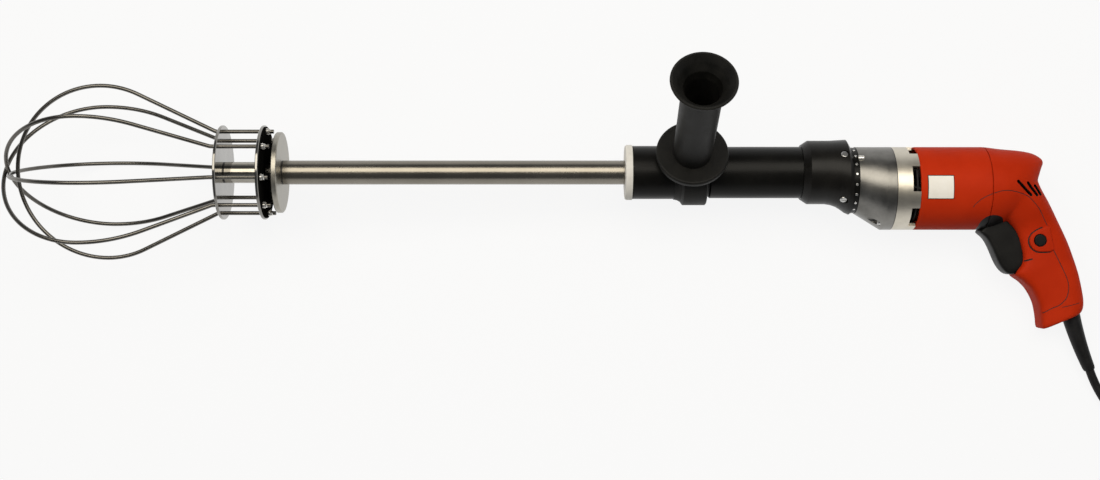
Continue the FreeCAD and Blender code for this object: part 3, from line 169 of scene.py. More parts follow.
def painted_shade_band(material, low, high, colour):
    """Paints shade: covers the stretch between two stations along the tool, in millimetres, with a dull,
    unmetallic dark colour.
    """
    nodes = material.node_tree.nodes
    links = material.node_tree.links
    shader = nodes["Principled BSDF"]
    along = nodes.new("ShaderNodeSeparateXYZ")
    links.new(nodes["tool_frame"].outputs["Vector"], along.inputs[0])
    within = nodes.new("ShaderNodeMath")
    within.operation = "COMPARE"
    within.inputs[1].default_value = (low + high) / 2000
    within.inputs[2].default_value = (high - low) / 2000
    links.new(along.outputs["X"], within.inputs[0])
    cover = nodes.new("ShaderNodeMix")
    cover.data_type = "RGBA"
    cover.inputs["B"].default_value = (*colour, 1)
    bare = shader.inputs["Base Color"].links[0].from_socket
    links.new(within.outputs[0], cover.inputs["Factor"])
    links.new(bare, cover.inputs["A"])
    links.new(cover.outputs["Result"], shader.inputs["Base Color"])
    metal = nodes.new("ShaderNodeMath")
    metal.operation = "SUBTRACT"
    metal.inputs[0].default_value = 1.0
    links.new(within.outputs[0], metal.inputs[1])
    links.new(metal.outputs[0], shader.inputs["Metallic"])


bright_wire = surface("bright_wire", (0.095, 0.09, 0.08), (0.17, 0.162, 0.147), size=30, smooth=0.22,
                      rough=0.30, metallic=1.0, fineness=300, depth=0.003)
dress(bright_wire, "wire_loop_1", "wire_loop_2", "wire_loop_3", "wire_loop_4")
polished_plate = surface("polished_plate", (0.30, 0.28, 0.24), (0.42, 0.40, 0.355), size=25,
                         smooth=0.08, rough=0.18, metallic=1.0, fineness=300, depth=0.02)
# Painted shade: a dull dark ring where the front disc meets the hub, standing for the shade in the step
# between them.
painted_shade_band(polished_plate, -338.0, -336.9, (0.02, 0.018, 0.015))
dress(polished_plate, "whisk_hub")
polished_disc = surface("polished_disc", (0.19, 0.183, 0.168), (0.30, 0.29, 0.268), size=22,
                        smooth=0.08, rough=0.18, metallic=1.0, fineness=300, depth=0.02)
dress(polished_disc, "whisk_front_plate", "whisk_rear_plate")


def pick(piece, *others):
    """Selects a piece as the active one, and any others with it, and nothing else."""
    bpy.ops.object.select_all(action="DESELECT")
    for chosen in (piece, *others):
        chosen.select_set(True)
    bpy.context.view_layer.objects.active = piece


def facing(direction, point):
    """A place at a point, with its Z along a direction."""
    place = direction.to_track_quat("Z", "Y").to_matrix().to_4x4()
    place.translation = point
    return place


# Painted shade: a thin, matt black ring lies on the back of the rear disc, round the hub, so that the
# polished back reads dark.
rear_disc_back = -295.0
painted_shade_disc_radius = 0.0475
painted_shade_disc_bore = 0.0113
painted_shade_disc_thickness = 0.0009
bpy.ops.object.select_all(action="DESELECT")
bpy.ops.mesh.primitive_circle_add(vertices=96, radius=painted_shade_disc_radius, fill_type="NGON")
painted_shade_disc = bpy.context.object
painted_shade_disc.name = "rear_disc_painted_shade"
bpy.ops.object.mode_set(mode="EDIT")
bpy.ops.mesh.select_mode(type="FACE")
bpy.ops.mesh.select_all(action="SELECT")
bpy.ops.mesh.inset(thickness=painted_shade_disc_radius - painted_shade_disc_bore)
bpy.ops.mesh.delete(type="FACE")
bpy.ops.mesh.select_all(action="SELECT")
bpy.ops.mesh.extrude_region_move(TRANSFORM_OT_translate={"value": (0, 0, painted_shade_disc_thickness)})
bpy.ops.mesh.select_all(action="SELECT")
bpy.ops.mesh.normals_make_consistent(inside=False)
bpy.ops.object.mode_set(mode="OBJECT")
rounding = painted_shade_disc.modifiers.new("rounding", "BEVEL")
rounding.width = 0.0003
rounding.segments = 3
bpy.ops.object.modifier_apply(modifier="rounding")
painted_shade_disc.matrix_world = facing(shaft_line, spot(rear_disc_back, 0, 0))
bpy.ops.object.transform_apply(location=True, rotation=True, scale=True)
bpy.ops.object.shade_smooth_by_angle(angle=math.radians(40))
# The ring's black is painted shade, with no gloss at all.
painted_shade_black = surface("painted_shade_black", (0.004, 0.004, 0.004), (0.012, 0.012, 0.011), size=90, smooth=0.7,
                      rough=0.85, fineness=900, depth=0.2, specular=0.0)
painted_shade_disc.data.materials.append(painted_shade_black)
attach(painted_shade_disc, "spindle")


def pick_top_faces(piece):
    """Selects only the faces of a piece in edit mode that look up its own Z."""
    bpy.ops.mesh.select_all(action="DESELECT")
    bpy.ops.object.mode_set(mode="OBJECT")
    for face in piece.data.polygons:
        face.select = face.normal.z > 0.99
    bpy.ops.object.mode_set(mode="EDIT")
    bpy.ops.mesh.select_mode(type="FACE")


def joined(name, pieces, crease):
    """Several pieces made one, with edges sharper than the crease angle left hard."""
    pick(*pieces)
    bpy.ops.object.join()
    bpy.ops.object.transform_apply(location=True, rotation=True, scale=True)
    bpy.ops.object.shade_smooth_by_angle(angle=math.radians(crease))
    whole = bpy.context.object
    whole.name = name
    return whole


def set_out(name, pattern, places):
    """One piece made of copies of a pattern, one at each place; the pattern itself is removed."""
    copies = []
    for place in places:
        copy = pattern.copy()
        copy.data = pattern.data.copy()
        bpy.context.collection.objects.link(copy)
        copy.matrix_world = place
        copies.append(copy)
    bpy.data.objects.remove(pattern)
    return joined(name, copies, 40)


# Each wire leg ends in a small bright cap nut behind the rear disc.
leg_circle = 42.6
leg_count = 8
first_leg_angle = 9
nut_station = rear_disc_back + 1.8
bpy.ops.object.select_all(action="DESELECT")
bpy.ops.mesh.primitive_cylinder_add(vertices=6, radius=0.0036, depth=0.0034)
nut = bpy.context.object
bpy.ops.object.mode_set(mode="EDIT")
bpy.ops.mesh.select_all(action="SELECT")
bpy.ops.mesh.bevel(offset=0.0004, segments=2, affect="EDGES")
pick_top_faces(nut)
for rise, narrow in ((0.0012, 0.92), (0.0010, 0.8), (0.0007, 0.6)):
    bpy.ops.mesh.extrude_region_move(TRANSFORM_OT_translate={"value": (0, 0, rise)})
    bpy.ops.transform.resize(value=(narrow, narrow, 1), center_override=(0, 0, 0))
bpy.ops.object.mode_set(mode="OBJECT")
nut_places = []
for number in range(leg_count):
    angle = math.radians(first_leg_angle + 360 / leg_count * number)
    leg_end = spot(nut_station, leg_circle * math.cos(angle), leg_circle * math.sin(angle))
    nut_places.append(facing(shaft_line, leg_end))
nuts = set_out("leg_nuts", nut, nut_places)
nut_steel = surface("nut_steel", (0.72, 0.70, 0.64), (0.86, 0.84, 0.79), size=200, smooth=0.26,
                    rough=0.38, metallic=1.0, fineness=900, depth=0.03)
nuts.data.materials.append(nut_steel)
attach(nuts, "spindle")


# The shaft: a ground stainless bar with a turned flange that the whisk bolts against.
# Grinding leaves it bright with fine rings; the flange is duller from the lathe.
ground_bar = surface("ground_bar", (0.20, 0.183, 0.152), (0.26, 0.24, 0.205), size=12, smooth=0.22,
                     rough=0.30, metallic=1.0, stretch=(1, 0.04, 0.04), fineness=500, depth=0.006)
# Painted shade: a dull dark ring at the shaft's root by the flange, standing for the shade in the step
# there.
painted_shade_band(ground_bar, -277.7, -276.4, (0.02, 0.018, 0.015))
dress(ground_bar, "mixing_shaft", "output_spindle", "drive_coupling")
turned_flange = surface("turned_flange", (0.26, 0.245, 0.21), (0.42, 0.40, 0.35), size=90, smooth=0.30,
                        rough=0.44, metallic=1.0, stretch=(1, 0.05, 0.05), fineness=900, depth=0.12)
dress(turned_flange, "shaft_flange")


# The neck: a black turned nylon nose and tube carry the shaft, with a pale bush at the mouth.
# Turning leaves fine rings that catch the light; handling greys the black in patches.
nylon_bush = surface("nylon_bush", (0.82, 0.80, 0.75), (0.90, 0.885, 0.84), size=120, smooth=0.42,
                     rough=0.58, fineness=1200, depth=0.1)
dress(nylon_bush, "front_bush")
turned_black = surface("turned_black", (0.0025, 0.0025, 0.0022), (0.007, 0.0068, 0.006), size=30,
                       smooth=0.28, rough=0.38, stretch=(1, 0.02, 0.02), fineness=900, depth=0.12,
                       specular=0.12)
dress(turned_black, "bearing_nose", "bearing_tube", "nose_ring")
ringed_black = surface("ringed_black", (0.003, 0.0028, 0.0024), (0.009, 0.0082, 0.007), size=30,
                       smooth=0.30, rough=0.38, stretch=(1, 0.02, 0.02), fineness=420, depth=0.5,
                       specular=0.18)
dress(ringed_black, "coupling_bell")
bearing_steel = surface("bearing_steel", (0.40, 0.40, 0.39), (0.58, 0.57, 0.55), size=150, smooth=0.22,
                        rough=0.35, metallic=1.0, stretch=(1, 0.1, 0.1), fineness=800, depth=0.1)
dress(bearing_steel, "shaft_bearing_inner", "shaft_bearing_outer", "spindle_bearing_inner",
      "spindle_bearing_outer", "armature_bearing_inners", "armature_bearing_outers", "nose_ring_pins",
      "bell_screws", "case_screws", "handle_screws", "clamp_stud")


# The gear case: an aluminium die casting, brushed after casting, with a flat bearing plate behind it.
# Inside are two steel gears; the plate's rim has open windows for the motor's cooling air.
brushed_cast = surface("brushed_cast", (0.11, 0.107, 0.098), (0.25, 0.243, 0.226), size=26, smooth=0.26,
                       rough=0.40, metallic=1.0, stretch=(1, 0.06, 0.06), fineness=420, depth=0.16)
dress(brushed_cast, "gear_case")
turned_plate = surface("turned_plate", (0.50, 0.465, 0.39), (0.68, 0.635, 0.545), size=30, smooth=0.34,
                       rough=0.42, metallic=1.0, stretch=(1, 0.05, 0.05), fineness=420, depth=0.3)
# Painted shade: a dull dark ring on the plate where it meets the gear case, standing for the shade in the
# seam.
painted_shade_band(turned_plate, 351.8, 352.7, (0.012, 0.011, 0.010))
dress(turned_plate, "bearing_plate")

# Two cap screws with round sockets stand half sunk in the casting's shoulder, one each side.
screw_station = 318
screw_height = 13.5
clear_of_tool = 90
bpy.ops.object.select_all(action="DESELECT")
bpy.ops.mesh.primitive_cylinder_add(vertices=32, radius=0.0027, depth=0.006)
screw = bpy.context.object
bpy.ops.object.mode_set(mode="EDIT")
bpy.ops.mesh.select_all(action="SELECT")
bpy.ops.mesh.bevel(offset=0.0004, segments=3, affect="EDGES")
pick_top_faces(screw)
bpy.ops.mesh.inset(thickness=0.0010)
bpy.ops.mesh.extrude_region_move(TRANSFORM_OT_translate={"value": (0, 0, -0.0018)})
bpy.ops.object.mode_set(mode="OBJECT")
casting = BVHTree.FromObject(frame["nodes"]["gear_case"], bpy.context.evaluated_depsgraph_get())
screw_places = []
for side in (-1, 1):
    outside = spot(screw_station, clear_of_tool * side, screw_height)
    landed = casting.ray_cast(outside, -far_side * side)[0]
    screw_places.append(facing(-shaft_line, landed))
cap_screws = set_out("shoulder_screws", screw, screw_places)
cap_screws.data.materials.append(nut_steel)
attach(cap_screws, "housing")

# The gears, laminations, bushes, windings and brushes that fill the two casings.
gear_steel = surface("gear_steel", (0.30, 0.30, 0.29), (0.45, 0.44, 0.42), size=200, smooth=0.25,
                     rough=0.4, metallic=1.0, fineness=700, depth=0.1)
dress(gear_steel, "output_gear", "intermediate_gear", "intermediate_shaft", "armature_shaft",
      "armature_core", "field_core")
bronze = surface("bronze", (0.36, 0.20, 0.08), (0.52, 0.31, 0.14), size=150, smooth=0.3, rough=0.45,
                 metallic=1.0, stretch=(1, 0.1, 0.1), fineness=700, depth=0.1)
dress(bronze, "plain_bushes", "commutator")
winding = surface("winding", (0.28, 0.10, 0.03), (0.42, 0.17, 0.06), size=300, smooth=0.3, rough=0.45,
                  metallic=0.6, stretch=(1, 0.1, 0.1), fineness=1200, depth=0.4)
dress(winding, "field_coils")
dark_carbon = surface("dark_carbon", (0.015, 0.015, 0.016), (0.04, 0.04, 0.042), size=300, smooth=0.5,
                      rough=0.7)
dress(dark_carbon, "carbon_brushes", "switch_body", "brush_holders")
fan_black = surface("fan_black", (0.006, 0.006, 0.006), (0.016, 0.016, 0.015), size=120, smooth=0.5,
                    rough=0.65, specular=0.2)
dress(fan_black, "fan")


# The motor housing: a tapered tube moulded in semi-gloss red plastic, with a bare pale plate on it.
# The mould was lightly textured, and rubbing has polished the texture in places.
moulded_red = surface("moulded_red", (0.45, 0.023, 0.003), (0.56, 0.033, 0.006), size=16, smooth=0.46,
                      rough=0.60, fineness=1500, depth=0.10, specular=0.05)
dress(moulded_red, "motor_housing")
pale_plate = surface("pale_plate", (0.90, 0.87, 0.80), (0.96, 0.94, 0.89), size=80, smooth=0.45,
                     rough=0.6, fineness=1000, depth=0.04, specular=0.3)
dress(pale_plate, "label_plate")


# The handle: two red mouldings screwed together down the middle, a domed cap behind the motor that
# runs into a slim curved grip. Rows give each cross-section in millimetres behind the motor.
back = 449.0
cap_rows = [(-10, 26.6, -59.8, 43.2), (0, 26.4, -59.6, 43.0), (18, 24.2, -54.0, 40.5),
            (38, 22.4, -42.0, 33.0), (51, 19.8, -20.0, 22.5), (59, 15.6, 1.5, 12.0),
            (62.3, 12.5, 7.0, 4.5)]
grip_rows = [(9, -16, 53.5, -2.5, 24, 2.5), (12, -30, 58.2, -16, 32, 2.5), (18, -46, 66.6, -30, 28.8, 3.0),
             (31, -61, 75.2, -46.3, 21.3, 4.5), (37.5, -80, 84.4, -65, 19.4, 5.5),
             (38, -94, 89.2, -76, 19.4, 5.5), (31, -105.5, 93.3, -87, 19.6, 5.5),
             (40.5, -113.5, 96.8, -97.5, 19.3, 5.5), (48, -121.5, 99.8, -108, 19, 5.5),
             (55, -135, 103.6, -127, 18.5, 5.5), (58, -150, 104.3, -137.5, 18, 5.5),
             (58.8, -160.3, 102.5, -143.9, 17.2, 5.5), (60.8, -162.4, 100, -146.2, 15, 5.5)]


def eased(rows, steps):
    """More rows between the given ones, along a smooth line through them."""
    fuller = []
    for number in range(len(rows) - 1):
        before = rows[max(number - 1, 0)]
        a = rows[number]
        b = rows[number + 1]
        after = rows[min(number + 2, len(rows) - 1)]
        for step in range(steps):
            t = step / steps
            fuller.append([
                0.5 * (2 * q + (r - p) * t + (2 * p - 5 * q + 4 * r - s) * t * t
                       + (3 * q - p - 3 * r + s) * t ** 3)
                for p, q, r, s in zip(before, a, b, after)])
    fuller.append(list(rows[-1]))
    return fuller


def lofted(name, rings, closed=True):
    """Rings of points bridged into one form, with its two ends filled where it is closed."""
    bpy.ops.object.select_all(action="DESELECT")
    bpy.ops.mesh.primitive_circle_add(vertices=len(rings[0]), radius=0.01)
    form = bpy.context.object
    form.name = name
    bpy.ops.object.mode_set(mode="EDIT")
    for number in range(len(rings) - 1):
        bpy.ops.mesh.primitive_circle_add(vertices=len(rings[0]), radius=0.01)
    bpy.ops.object.mode_set(mode="OBJECT")
    form.data.vertices.foreach_set("co", [c for ring in rings for point in ring for c in point])
    bpy.ops.object.mode_set(mode="EDIT")
    bpy.ops.mesh.select_mode(type="VERT")
    bpy.ops.mesh.select_all(action="SELECT")
    bpy.ops.mesh.bridge_edge_loops()
    if closed:
        bpy.ops.mesh.select_all(action="DESELECT")
        bpy.ops.mesh.select_non_manifold()
        bpy.ops.mesh.edge_face_add()
        bpy.ops.mesh.select_all(action="SELECT")
    bpy.ops.mesh.normals_make_consistent(inside=False)
    bpy.ops.object.mode_set(mode="OBJECT")
    return form


def hoop(middle, run, half, width, power, front, count=72):
    """A rounded-square ring of points about a middle, squarer or rounder at its front."""
    points = []
    for number in range(count):
        angle = 2 * math.pi * (number + 0.5) / count
        c = math.cos(angle)
        s = math.sin(angle)
        bend = 2 / (power if c > 0 else front)
        u = math.copysign(abs(c) ** bend, c) * half
        v = math.copysign(abs(s) ** bend, s) * width
        points.append(spot(middle[0] + run[0] * u, v, middle[1] + run[1] * u))
    return points


cap_rings = []
for station, top, bottom, width in eased(cap_rows, 4):
    cap_rings.append(hoop((back + station, (top + bottom) / 2), (0, 1), (top - bottom) / 2, width, 2, 2))
shell = lofted("handle_shell", cap_rings)
grip_rings = []
for front_x, front_z, back_x, back_z, width, front in eased(grip_rows, 4):
    reach = math.hypot(back_x - front_x, back_z - front_z)
    run = ((back_x - front_x) / reach, (back_z - front_z) / reach)
    middle = (back + (front_x + back_x) / 2, (front_z + back_z) / 2)
    grip_rings.append(hoop(middle, run, reach / 2, width, 2.5, front))
grip = lofted("handle_grip", grip_rings)
pick(shell, grip)
bpy.ops.object.join()
knit = shell.modifiers.new("knit", "REMESH")
knit.mode = "VOXEL"
knit.voxel_size = 0.0011
bpy.ops.object.modifier_apply(modifier="knit")
ease = shell.modifiers.new("ease", "SMOOTH")
ease.factor = 0.5
ease.iterations = 9
bpy.ops.object.modifier_apply(modifier="ease")

# The cap runs into the grip in a broad hollow, so the joint between the two is eased further.
joint_line = [Vector((6, -58)), Vector((24, -50)), Vector((42, -34)), Vector((51, -20))]
fillet_reach = 30
fillet_fade = 14
to_tool = tool.inverted()
fillet = shell.vertex_groups.new(name="fillet")
for vertex in shell.data.vertices:
    placed = to_tool @ vertex.co * 1000
    here = Vector((placed.x - back, placed.z))
    nearest = 2.0 * fillet_reach
    for a, b in zip(joint_line, joint_line[1:]):
        share = max(0.0, min(1.0, (here - a).dot(b - a) / (b - a).length_squared))
        nearest = min(nearest, (here - a.lerp(b, share)).length)
    if nearest < fillet_reach:
        fillet.add([vertex.index], min(1.0, (fillet_reach - nearest) / fillet_fade), "REPLACE")
hollow = shell.modifiers.new("hollow", "SMOOTH")
hollow.vertex_group = "fillet"
hollow.use_x = False
hollow.use_y = False
hollow.factor = 0.5
hollow.iterations = 500
bpy.ops.object.modifier_apply(modifier="hollow")
bpy.ops.object.mode_set(mode="EDIT")
bpy.ops.mesh.select_all(action="SELECT")
bpy.ops.mesh.bisect(plane_co=spot(back + 0.3, 0, 0), plane_no=shaft_line, use_fill=True, clear_inner=True)
bpy.ops.object.mode_set(mode="OBJECT")


def carve(piece, cutter):
    """Cuts one solid out of another and throws the cutter away."""
    pick(piece)
    cutting = piece.modifiers.new("cut", "BOOLEAN")
    cutting.operation = "DIFFERENCE"
    cutting.solver = "EXACT"
    cutting.material_mode = "TRANSFER"
    cutting.object = cutter
    bpy.ops.object.modifier_apply(modifier="cut")
    bpy.data.objects.remove(cutter)


def prism(name, outline, low, high):
    """A flat outline in the tool's X and Z drawn out across the tool."""
    rings = [[spot(x, y, z) for x, z in outline] for y in (low, high)]
    return lofted(name, rings)


shell.data.materials.append(moulded_red)
# Painted shade: the cuts below leave their walls in this near-black, standing for the shade inside holes,
# channels and recesses.
painted_shade_inside = surface("painted_shade_inside", (0.012, 0.010, 0.009), (0.03, 0.024, 0.02), size=200, smooth=0.6,
                      rough=0.8)
trigger_rows = [(-5.5, -61.8), (-2, -64.4), (3.7, -69), (9.3, -80.3), (14.8, -95), (22, -104.4),
                (28, -106.2), (33, -104), (41, -97), (46, -88), (40.5, -68), (33, -54), (24, -46.5),
                (14, -44), (6, -49.5), (-1, -57.5)]
pull = Vector((math.cos(math.radians(18)), math.sin(math.radians(18))))


def grown(outline, margin):
    """An outline moved outwards by a margin."""
    wider = []
    for number, (x, z) in enumerate(outline):
        ahead = outline[(number + 1) % len(outline)]
        behind = outline[number - 1]
        along = Vector((ahead[0] - behind[0], ahead[1] - behind[1])).normalized()
        wider.append((x + along.y * margin, z - along.x * margin))
    return wider


# The trigger's well leaves room behind the paddle for its travel; its walls are painted near-black as
# shade.
well_half = 12.6
well_clearance = 0.9
trigger_travel = 7.0
rows_behind_paddle = range(6, 15)
slot_outline = []
for number, (x, z) in enumerate(grown(trigger_rows, well_clearance)):
    travel = trigger_travel if number in rows_behind_paddle else 0.0
    slot_outline.append((back + x + pull.x * travel, z + pull.y * travel))
well = prism("trigger_well", slot_outline, -well_half, well_half)
well.data.materials.append(painted_shade_inside)
carve(shell, well)

# Three round-ended vents go right through the back of the cap; their walls are painted near-black as
# shade.
vent_half = 1.6
past_sides = 60
vent_lines = (((26.7, -10.5), (41.6, -24.1)), ((38.2, -11.9), (48.5, -24.1)), ((47, -14.6), (53, -23.4)))
vent_end = [math.pi * turn / 11 for turn in range(12)]
for start, stop in vent_lines:
    run = Vector((stop[0] - start[0], stop[1] - start[1])).normalized()
    outline = []
    for middle, way in ((stop, vent_half), (start, -vent_half)):
        for angle in vent_end:
            c = math.cos(angle)
            s = math.sin(angle)
            outline.append((back + middle[0] + (run.x * s + run.y * c) * way,
                            middle[1] + (run.y * s - run.x * c) * way))
    vent = prism("vent", outline, -past_sides, past_sides)
    vent.data.materials.append(painted_shade_inside)
    carve(shell, vent)

# The lock button stands in a raised teardrop on the side that the right thumb reaches.
button_at = (54.2, -70.5)
button_hole_radius = 6.7
button_hole_mouth = -40
button_hole_floor = -8.5
round_hole = []
for number in range(40):
    angle = 2 * math.pi * number / 40
    round_hole.append((back + button_at[0] + button_hole_radius * math.cos(angle),
                       button_at[1] + button_hole_radius * math.sin(angle)))
teardrop_rows = [(62.6, -55.2), (57, -57.6), (50.5, -60.6), (45.6, -64.6), (43.4, -70.5), (45.2, -77.2),
                 (50.6, -81.6), (58, -82.4), (65, -81.8), (68.6, -79.6), (67.8, -74), (65.8, -65.5),
                 (64.6, -58)]
teardrop = []
for x, z in eased(teardrop_rows + [teardrop_rows[0]], 4)[:-1]:
    teardrop.append((back + x, z))
boss_face = -21.3
boss_root = -13.2
boss = prism("lock_boss", teardrop, boss_face, boss_root)
bpy.ops.object.mode_set(mode="EDIT")
bpy.ops.mesh.select_all(action="DESELECT")
bpy.ops.object.mode_set(mode="OBJECT")
near_face = spot(back + 55, boss_face, -70)
for edge in boss.data.edges:
    ends = [boss.data.vertices[number].co for number in edge.vertices]
    edge.select = all(abs((end - near_face).dot(far_side)) < 0.0001 for end in ends)
bpy.ops.object.mode_set(mode="EDIT")
bpy.ops.mesh.select_mode(type="EDGE")
bpy.ops.mesh.bevel(offset=0.0013, segments=4, affect="EDGES")
bpy.ops.object.mode_set(mode="OBJECT")
boss.data.materials.append(moulded_red)
# The button's hole has its walls painted near-black as shade.
for piece in (boss, shell):
    hole = prism("button_hole", round_hole, button_hole_mouth, button_hole_floor)
    hole.data.materials.append(painted_shade_inside)
    carve(piece, hole)
pick(boss)
bpy.ops.object.shade_smooth_by_angle(angle=math.radians(35))
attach(boss, "housing")

# The motor housing is copied so that the panel line can run on from the handle across the joint.
motor_shell = frame["nodes"]["motor_housing"].copy()
motor_shell.data = motor_shell.data.copy()
motor_shell.name = "motor_shell"
bpy.context.collection.objects.link(motor_shell)
pick(motor_shell)
bpy.ops.object.mode_set(mode="EDIT")
bpy.ops.mesh.select_all(action="SELECT")
bpy.ops.mesh.remove_doubles(threshold=0.000002)
bpy.ops.object.mode_set(mode="OBJECT")
knit = motor_shell.modifiers.new("knit", "REMESH")
knit.mode = "VOXEL"
knit.voxel_size = 0.0009
bpy.ops.object.modifier_apply(modifier="knit")
ease = motor_shell.modifiers.new("ease", "SMOOTH")
ease.factor = 0.5
ease.iterations = 4
bpy.ops.object.modifier_apply(modifier="ease")


def groove(name, piece, points, side, radius):
    """A fine channel that follows a moulding's side along points in the tool's X and Z, with walls painted
    near-black as shade.
    """
    skin = BVHTree.FromObject(piece, bpy.context.evaluated_depsgraph_get())
    landings = []
    for x, z in points:
        landed = skin.ray_cast(spot(back + x, clear_of_tool * side, z), -far_side * side)[0]
        if landed is not None:
            landings.append(landed)
    data = bpy.data.curves.new(name, "CURVE")
    data.dimensions = "3D"
    data.bevel_depth = radius / 1000
    data.bevel_resolution = 2
    data.use_fill_caps = True
    line = data.splines.new("POLY")
    line.points.add(len(landings) - 1)
    for knot, landed in zip(line.points, landings):
        knot.co = (*landed, 1)
    channel = bpy.data.objects.new(name, data)
    bpy.context.collection.objects.link(channel)
    pick(channel)
    bpy.ops.object.convert(target="MESH")
    channel = bpy.context.object
    channel.data.materials.append(painted_shade_inside)
    carve(piece, channel)


# Black inlays are moulded into both shells round the top of the trigger, flush with the red.
soft_black = surface("soft_black", (0.004, 0.004, 0.004), (0.010, 0.010, 0.0095), size=60, smooth=0.36,
                     rough=0.5, fineness=1800, depth=0.12, specular=0.14)
cheek_rows = [(-9, -60.5), (-8.3, -51.5), (-2.9, -46.3), (3.7, -44.7), (12.3, -46.3), (17.5, -50.7),
              (24.5, -59.2), (30.6, -71.3), (35.2, -83.4), (38.7, -91.2)]
rows_in_front = ((25, -99), (8, -92), (-10, -75), (-13, -64))
cheek_outline = [(back + x, z) for x, z in (*eased(cheek_rows, 4), *rows_in_front)]
inlays = []
for piece in (motor_shell, shell):
    inlay = piece.copy()
    inlay.data = piece.data.copy()
    bpy.context.collection.objects.link(inlay)
    form = prism("cheek_form", cheek_outline, -past_sides, past_sides)
    pick(inlay)
    keep = inlay.modifiers.new("keep", "BOOLEAN")
    keep.operation = "INTERSECT"
    keep.solver = "EXACT"
    keep.object = form
    bpy.ops.object.modifier_apply(modifier="keep")
    inlay.data.materials.clear()
    inlay.data.materials.append(soft_black)
    for face in inlay.data.polygons:
        face.material_index = 0
    inlays.append(inlay)
    carve(piece, form)
cheeks = joined("trigger_cheeks", inlays[::-1], 35)
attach(cheeks, "housing")

# The bare plate sits in a shallow recess of the motor housing, whose floor and walls are painted
# near-black as shade.
motor_axis = -16.6
recess_half = math.radians(16.6)
recess_floor = 42.1
recess_mouth = 46.0
recess_rings = []
for x in (382.5, 409.5):
    ring = []
    for radius, turns in ((recess_floor, range(-8, 9)), (recess_mouth, range(8, -9, -1))):
        for turn in turns:
            angle = recess_half * turn / 8
            ring.append(spot(x, -radius * math.cos(angle), motor_axis + radius * math.sin(angle)))
    recess_rings.append(ring)
recess = lofted("label_recess", recess_rings)
recess.data.materials.append(painted_shade_inside)
carve(motor_shell, recess)

# Fine channels mark the panels, on both sides alike, and the edge of the teardrop; their walls are painted
# near-black as shade.
motor_line = [(-19, -37), (-17.7, -34.3), (-11.6, -28.7), (-4.4, -24.8), (-0.2, -23.0)]
cap_line = [(0.7, -22.8), (9.3, -20.3), (19, -20.2), (28.2, -21.9), (38.5, -25.6), (47, -33.2),
            (53.1, -40.4), (59.6, -51.7), (62.2, -56)]
rear_line = [(68.4, -80.5), (73.4, -90.5), (77.6, -99), (82.2, -109), (84.3, -118.4), (82.2, -129.3),
             (75.2, -136.9), (67, -140.6), (58.6, -145.6)]
band_line = [(77.8, -139.4), (87, -137.4), (96.6, -134.9)]
slit_line = [(34, -93.6), (40.5, -91.6), (47, -89.7)]
boss_line = grown(teardrop_rows, 0.6)
groove("boss_line", shell, eased(boss_line[1:9], 6), -1, 0.7)
panel_lines = (("motor_line", motor_shell, motor_line, 0.4), ("cap_line", shell, cap_line, 0.4),
               ("rear_line", shell, rear_line, 0.4), ("band_line", shell, band_line, 0.35),
               ("slit_line", shell, slit_line, 0.8))
for side in (-1, 1):
    for name, piece, line, radius in panel_lines:
        groove(name, piece, eased(line, 6), side, radius)
for piece, nodes in ((motor_shell, ["motor_housing"]), (shell, ["handle_left", "handle_right"])):
    pick(piece)
    bpy.ops.object.shade_smooth_by_angle(angle=math.radians(35))
    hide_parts(*nodes)
    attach(piece, "housing")


# The trigger: a wide black paddle moulded in soft-touch plastic, rounded on every edge.
# It slides into the handle against a spring.
paddle_layers = ((-3.5, -12), (-0.6, -11.6), (0.5, -9.0), (0.5, 9.0), (-0.6, 11.6), (-3.5, 12))
paddle_rings = []
for margin, y in paddle_layers:
    paddle_rings.append([spot(back + x, y, z) for x, z in grown(trigger_rows, margin)])
trigger = lofted("trigger_paddle", paddle_rings)
round_off = trigger.modifiers.new("round_off", "SUBSURF")
round_off.levels = 2
round_off.render_levels = 2
bpy.ops.object.modifier_apply(modifier="round_off")
bpy.ops.object.shade_smooth()
trigger.data.materials.append(soft_black)
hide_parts("trigger")
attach(trigger, "trigger")
dress(soft_black, "lock_button")


# The side handle: a black clamp ring round the neck, a guard disc and a moulded grip with a flared,
# open mouth. All are matte black plastic with a fine grain.
matte_black = surface("matte_black", (0.004, 0.004, 0.0036), (0.013, 0.0125, 0.011), size=45,
                      smooth=0.44, rough=0.58, fineness=1100, depth=0.2, specular=0.18)
dress(matte_black, "handle_clamp", "grip_guard", "side_grip")


# The mains lead: black rubber, nine millimetres thick, out of a tapered sleeve in the grip's end.
# It drops to the floor, bends away, and the rest is wound in a tied coil with a plug on its end.
lead_rubber = surface("lead_rubber", (0.006, 0.006, 0.0065), (0.015, 0.015, 0.016), size=70,
                      smooth=0.42, rough=0.58, fineness=900, depth=0.15, specular=0.2)
dress(lead_rubber, "plug_body")
plated_pin = surface("plated_pin", (0.52, 0.50, 0.46), (0.66, 0.64, 0.60), size=200, smooth=0.18,
                     rough=0.3, metallic=1.0)
dress(plated_pin, "plug_pins")
lean = math.radians(18.5)
lead_out = (tool.to_3x3() @ Vector((math.sin(lean), 0, -math.cos(lean)))).normalized()
lead_side = (tool.to_3x3() @ Vector((math.cos(lean), 0, math.sin(lean)))).normalized()
sleeve_root = spot(back + 93, 0, -148)
sleeve_length = 0.066
sleeve_sunk = 0.006
sleeve_bow = 0.006
sleeve_root_radius = 0.0097
sleeve_tip_radius = 0.0061
sleeve_mouth_radius = 0.0056
sleeve_steps = 24
sleeve_rings = []
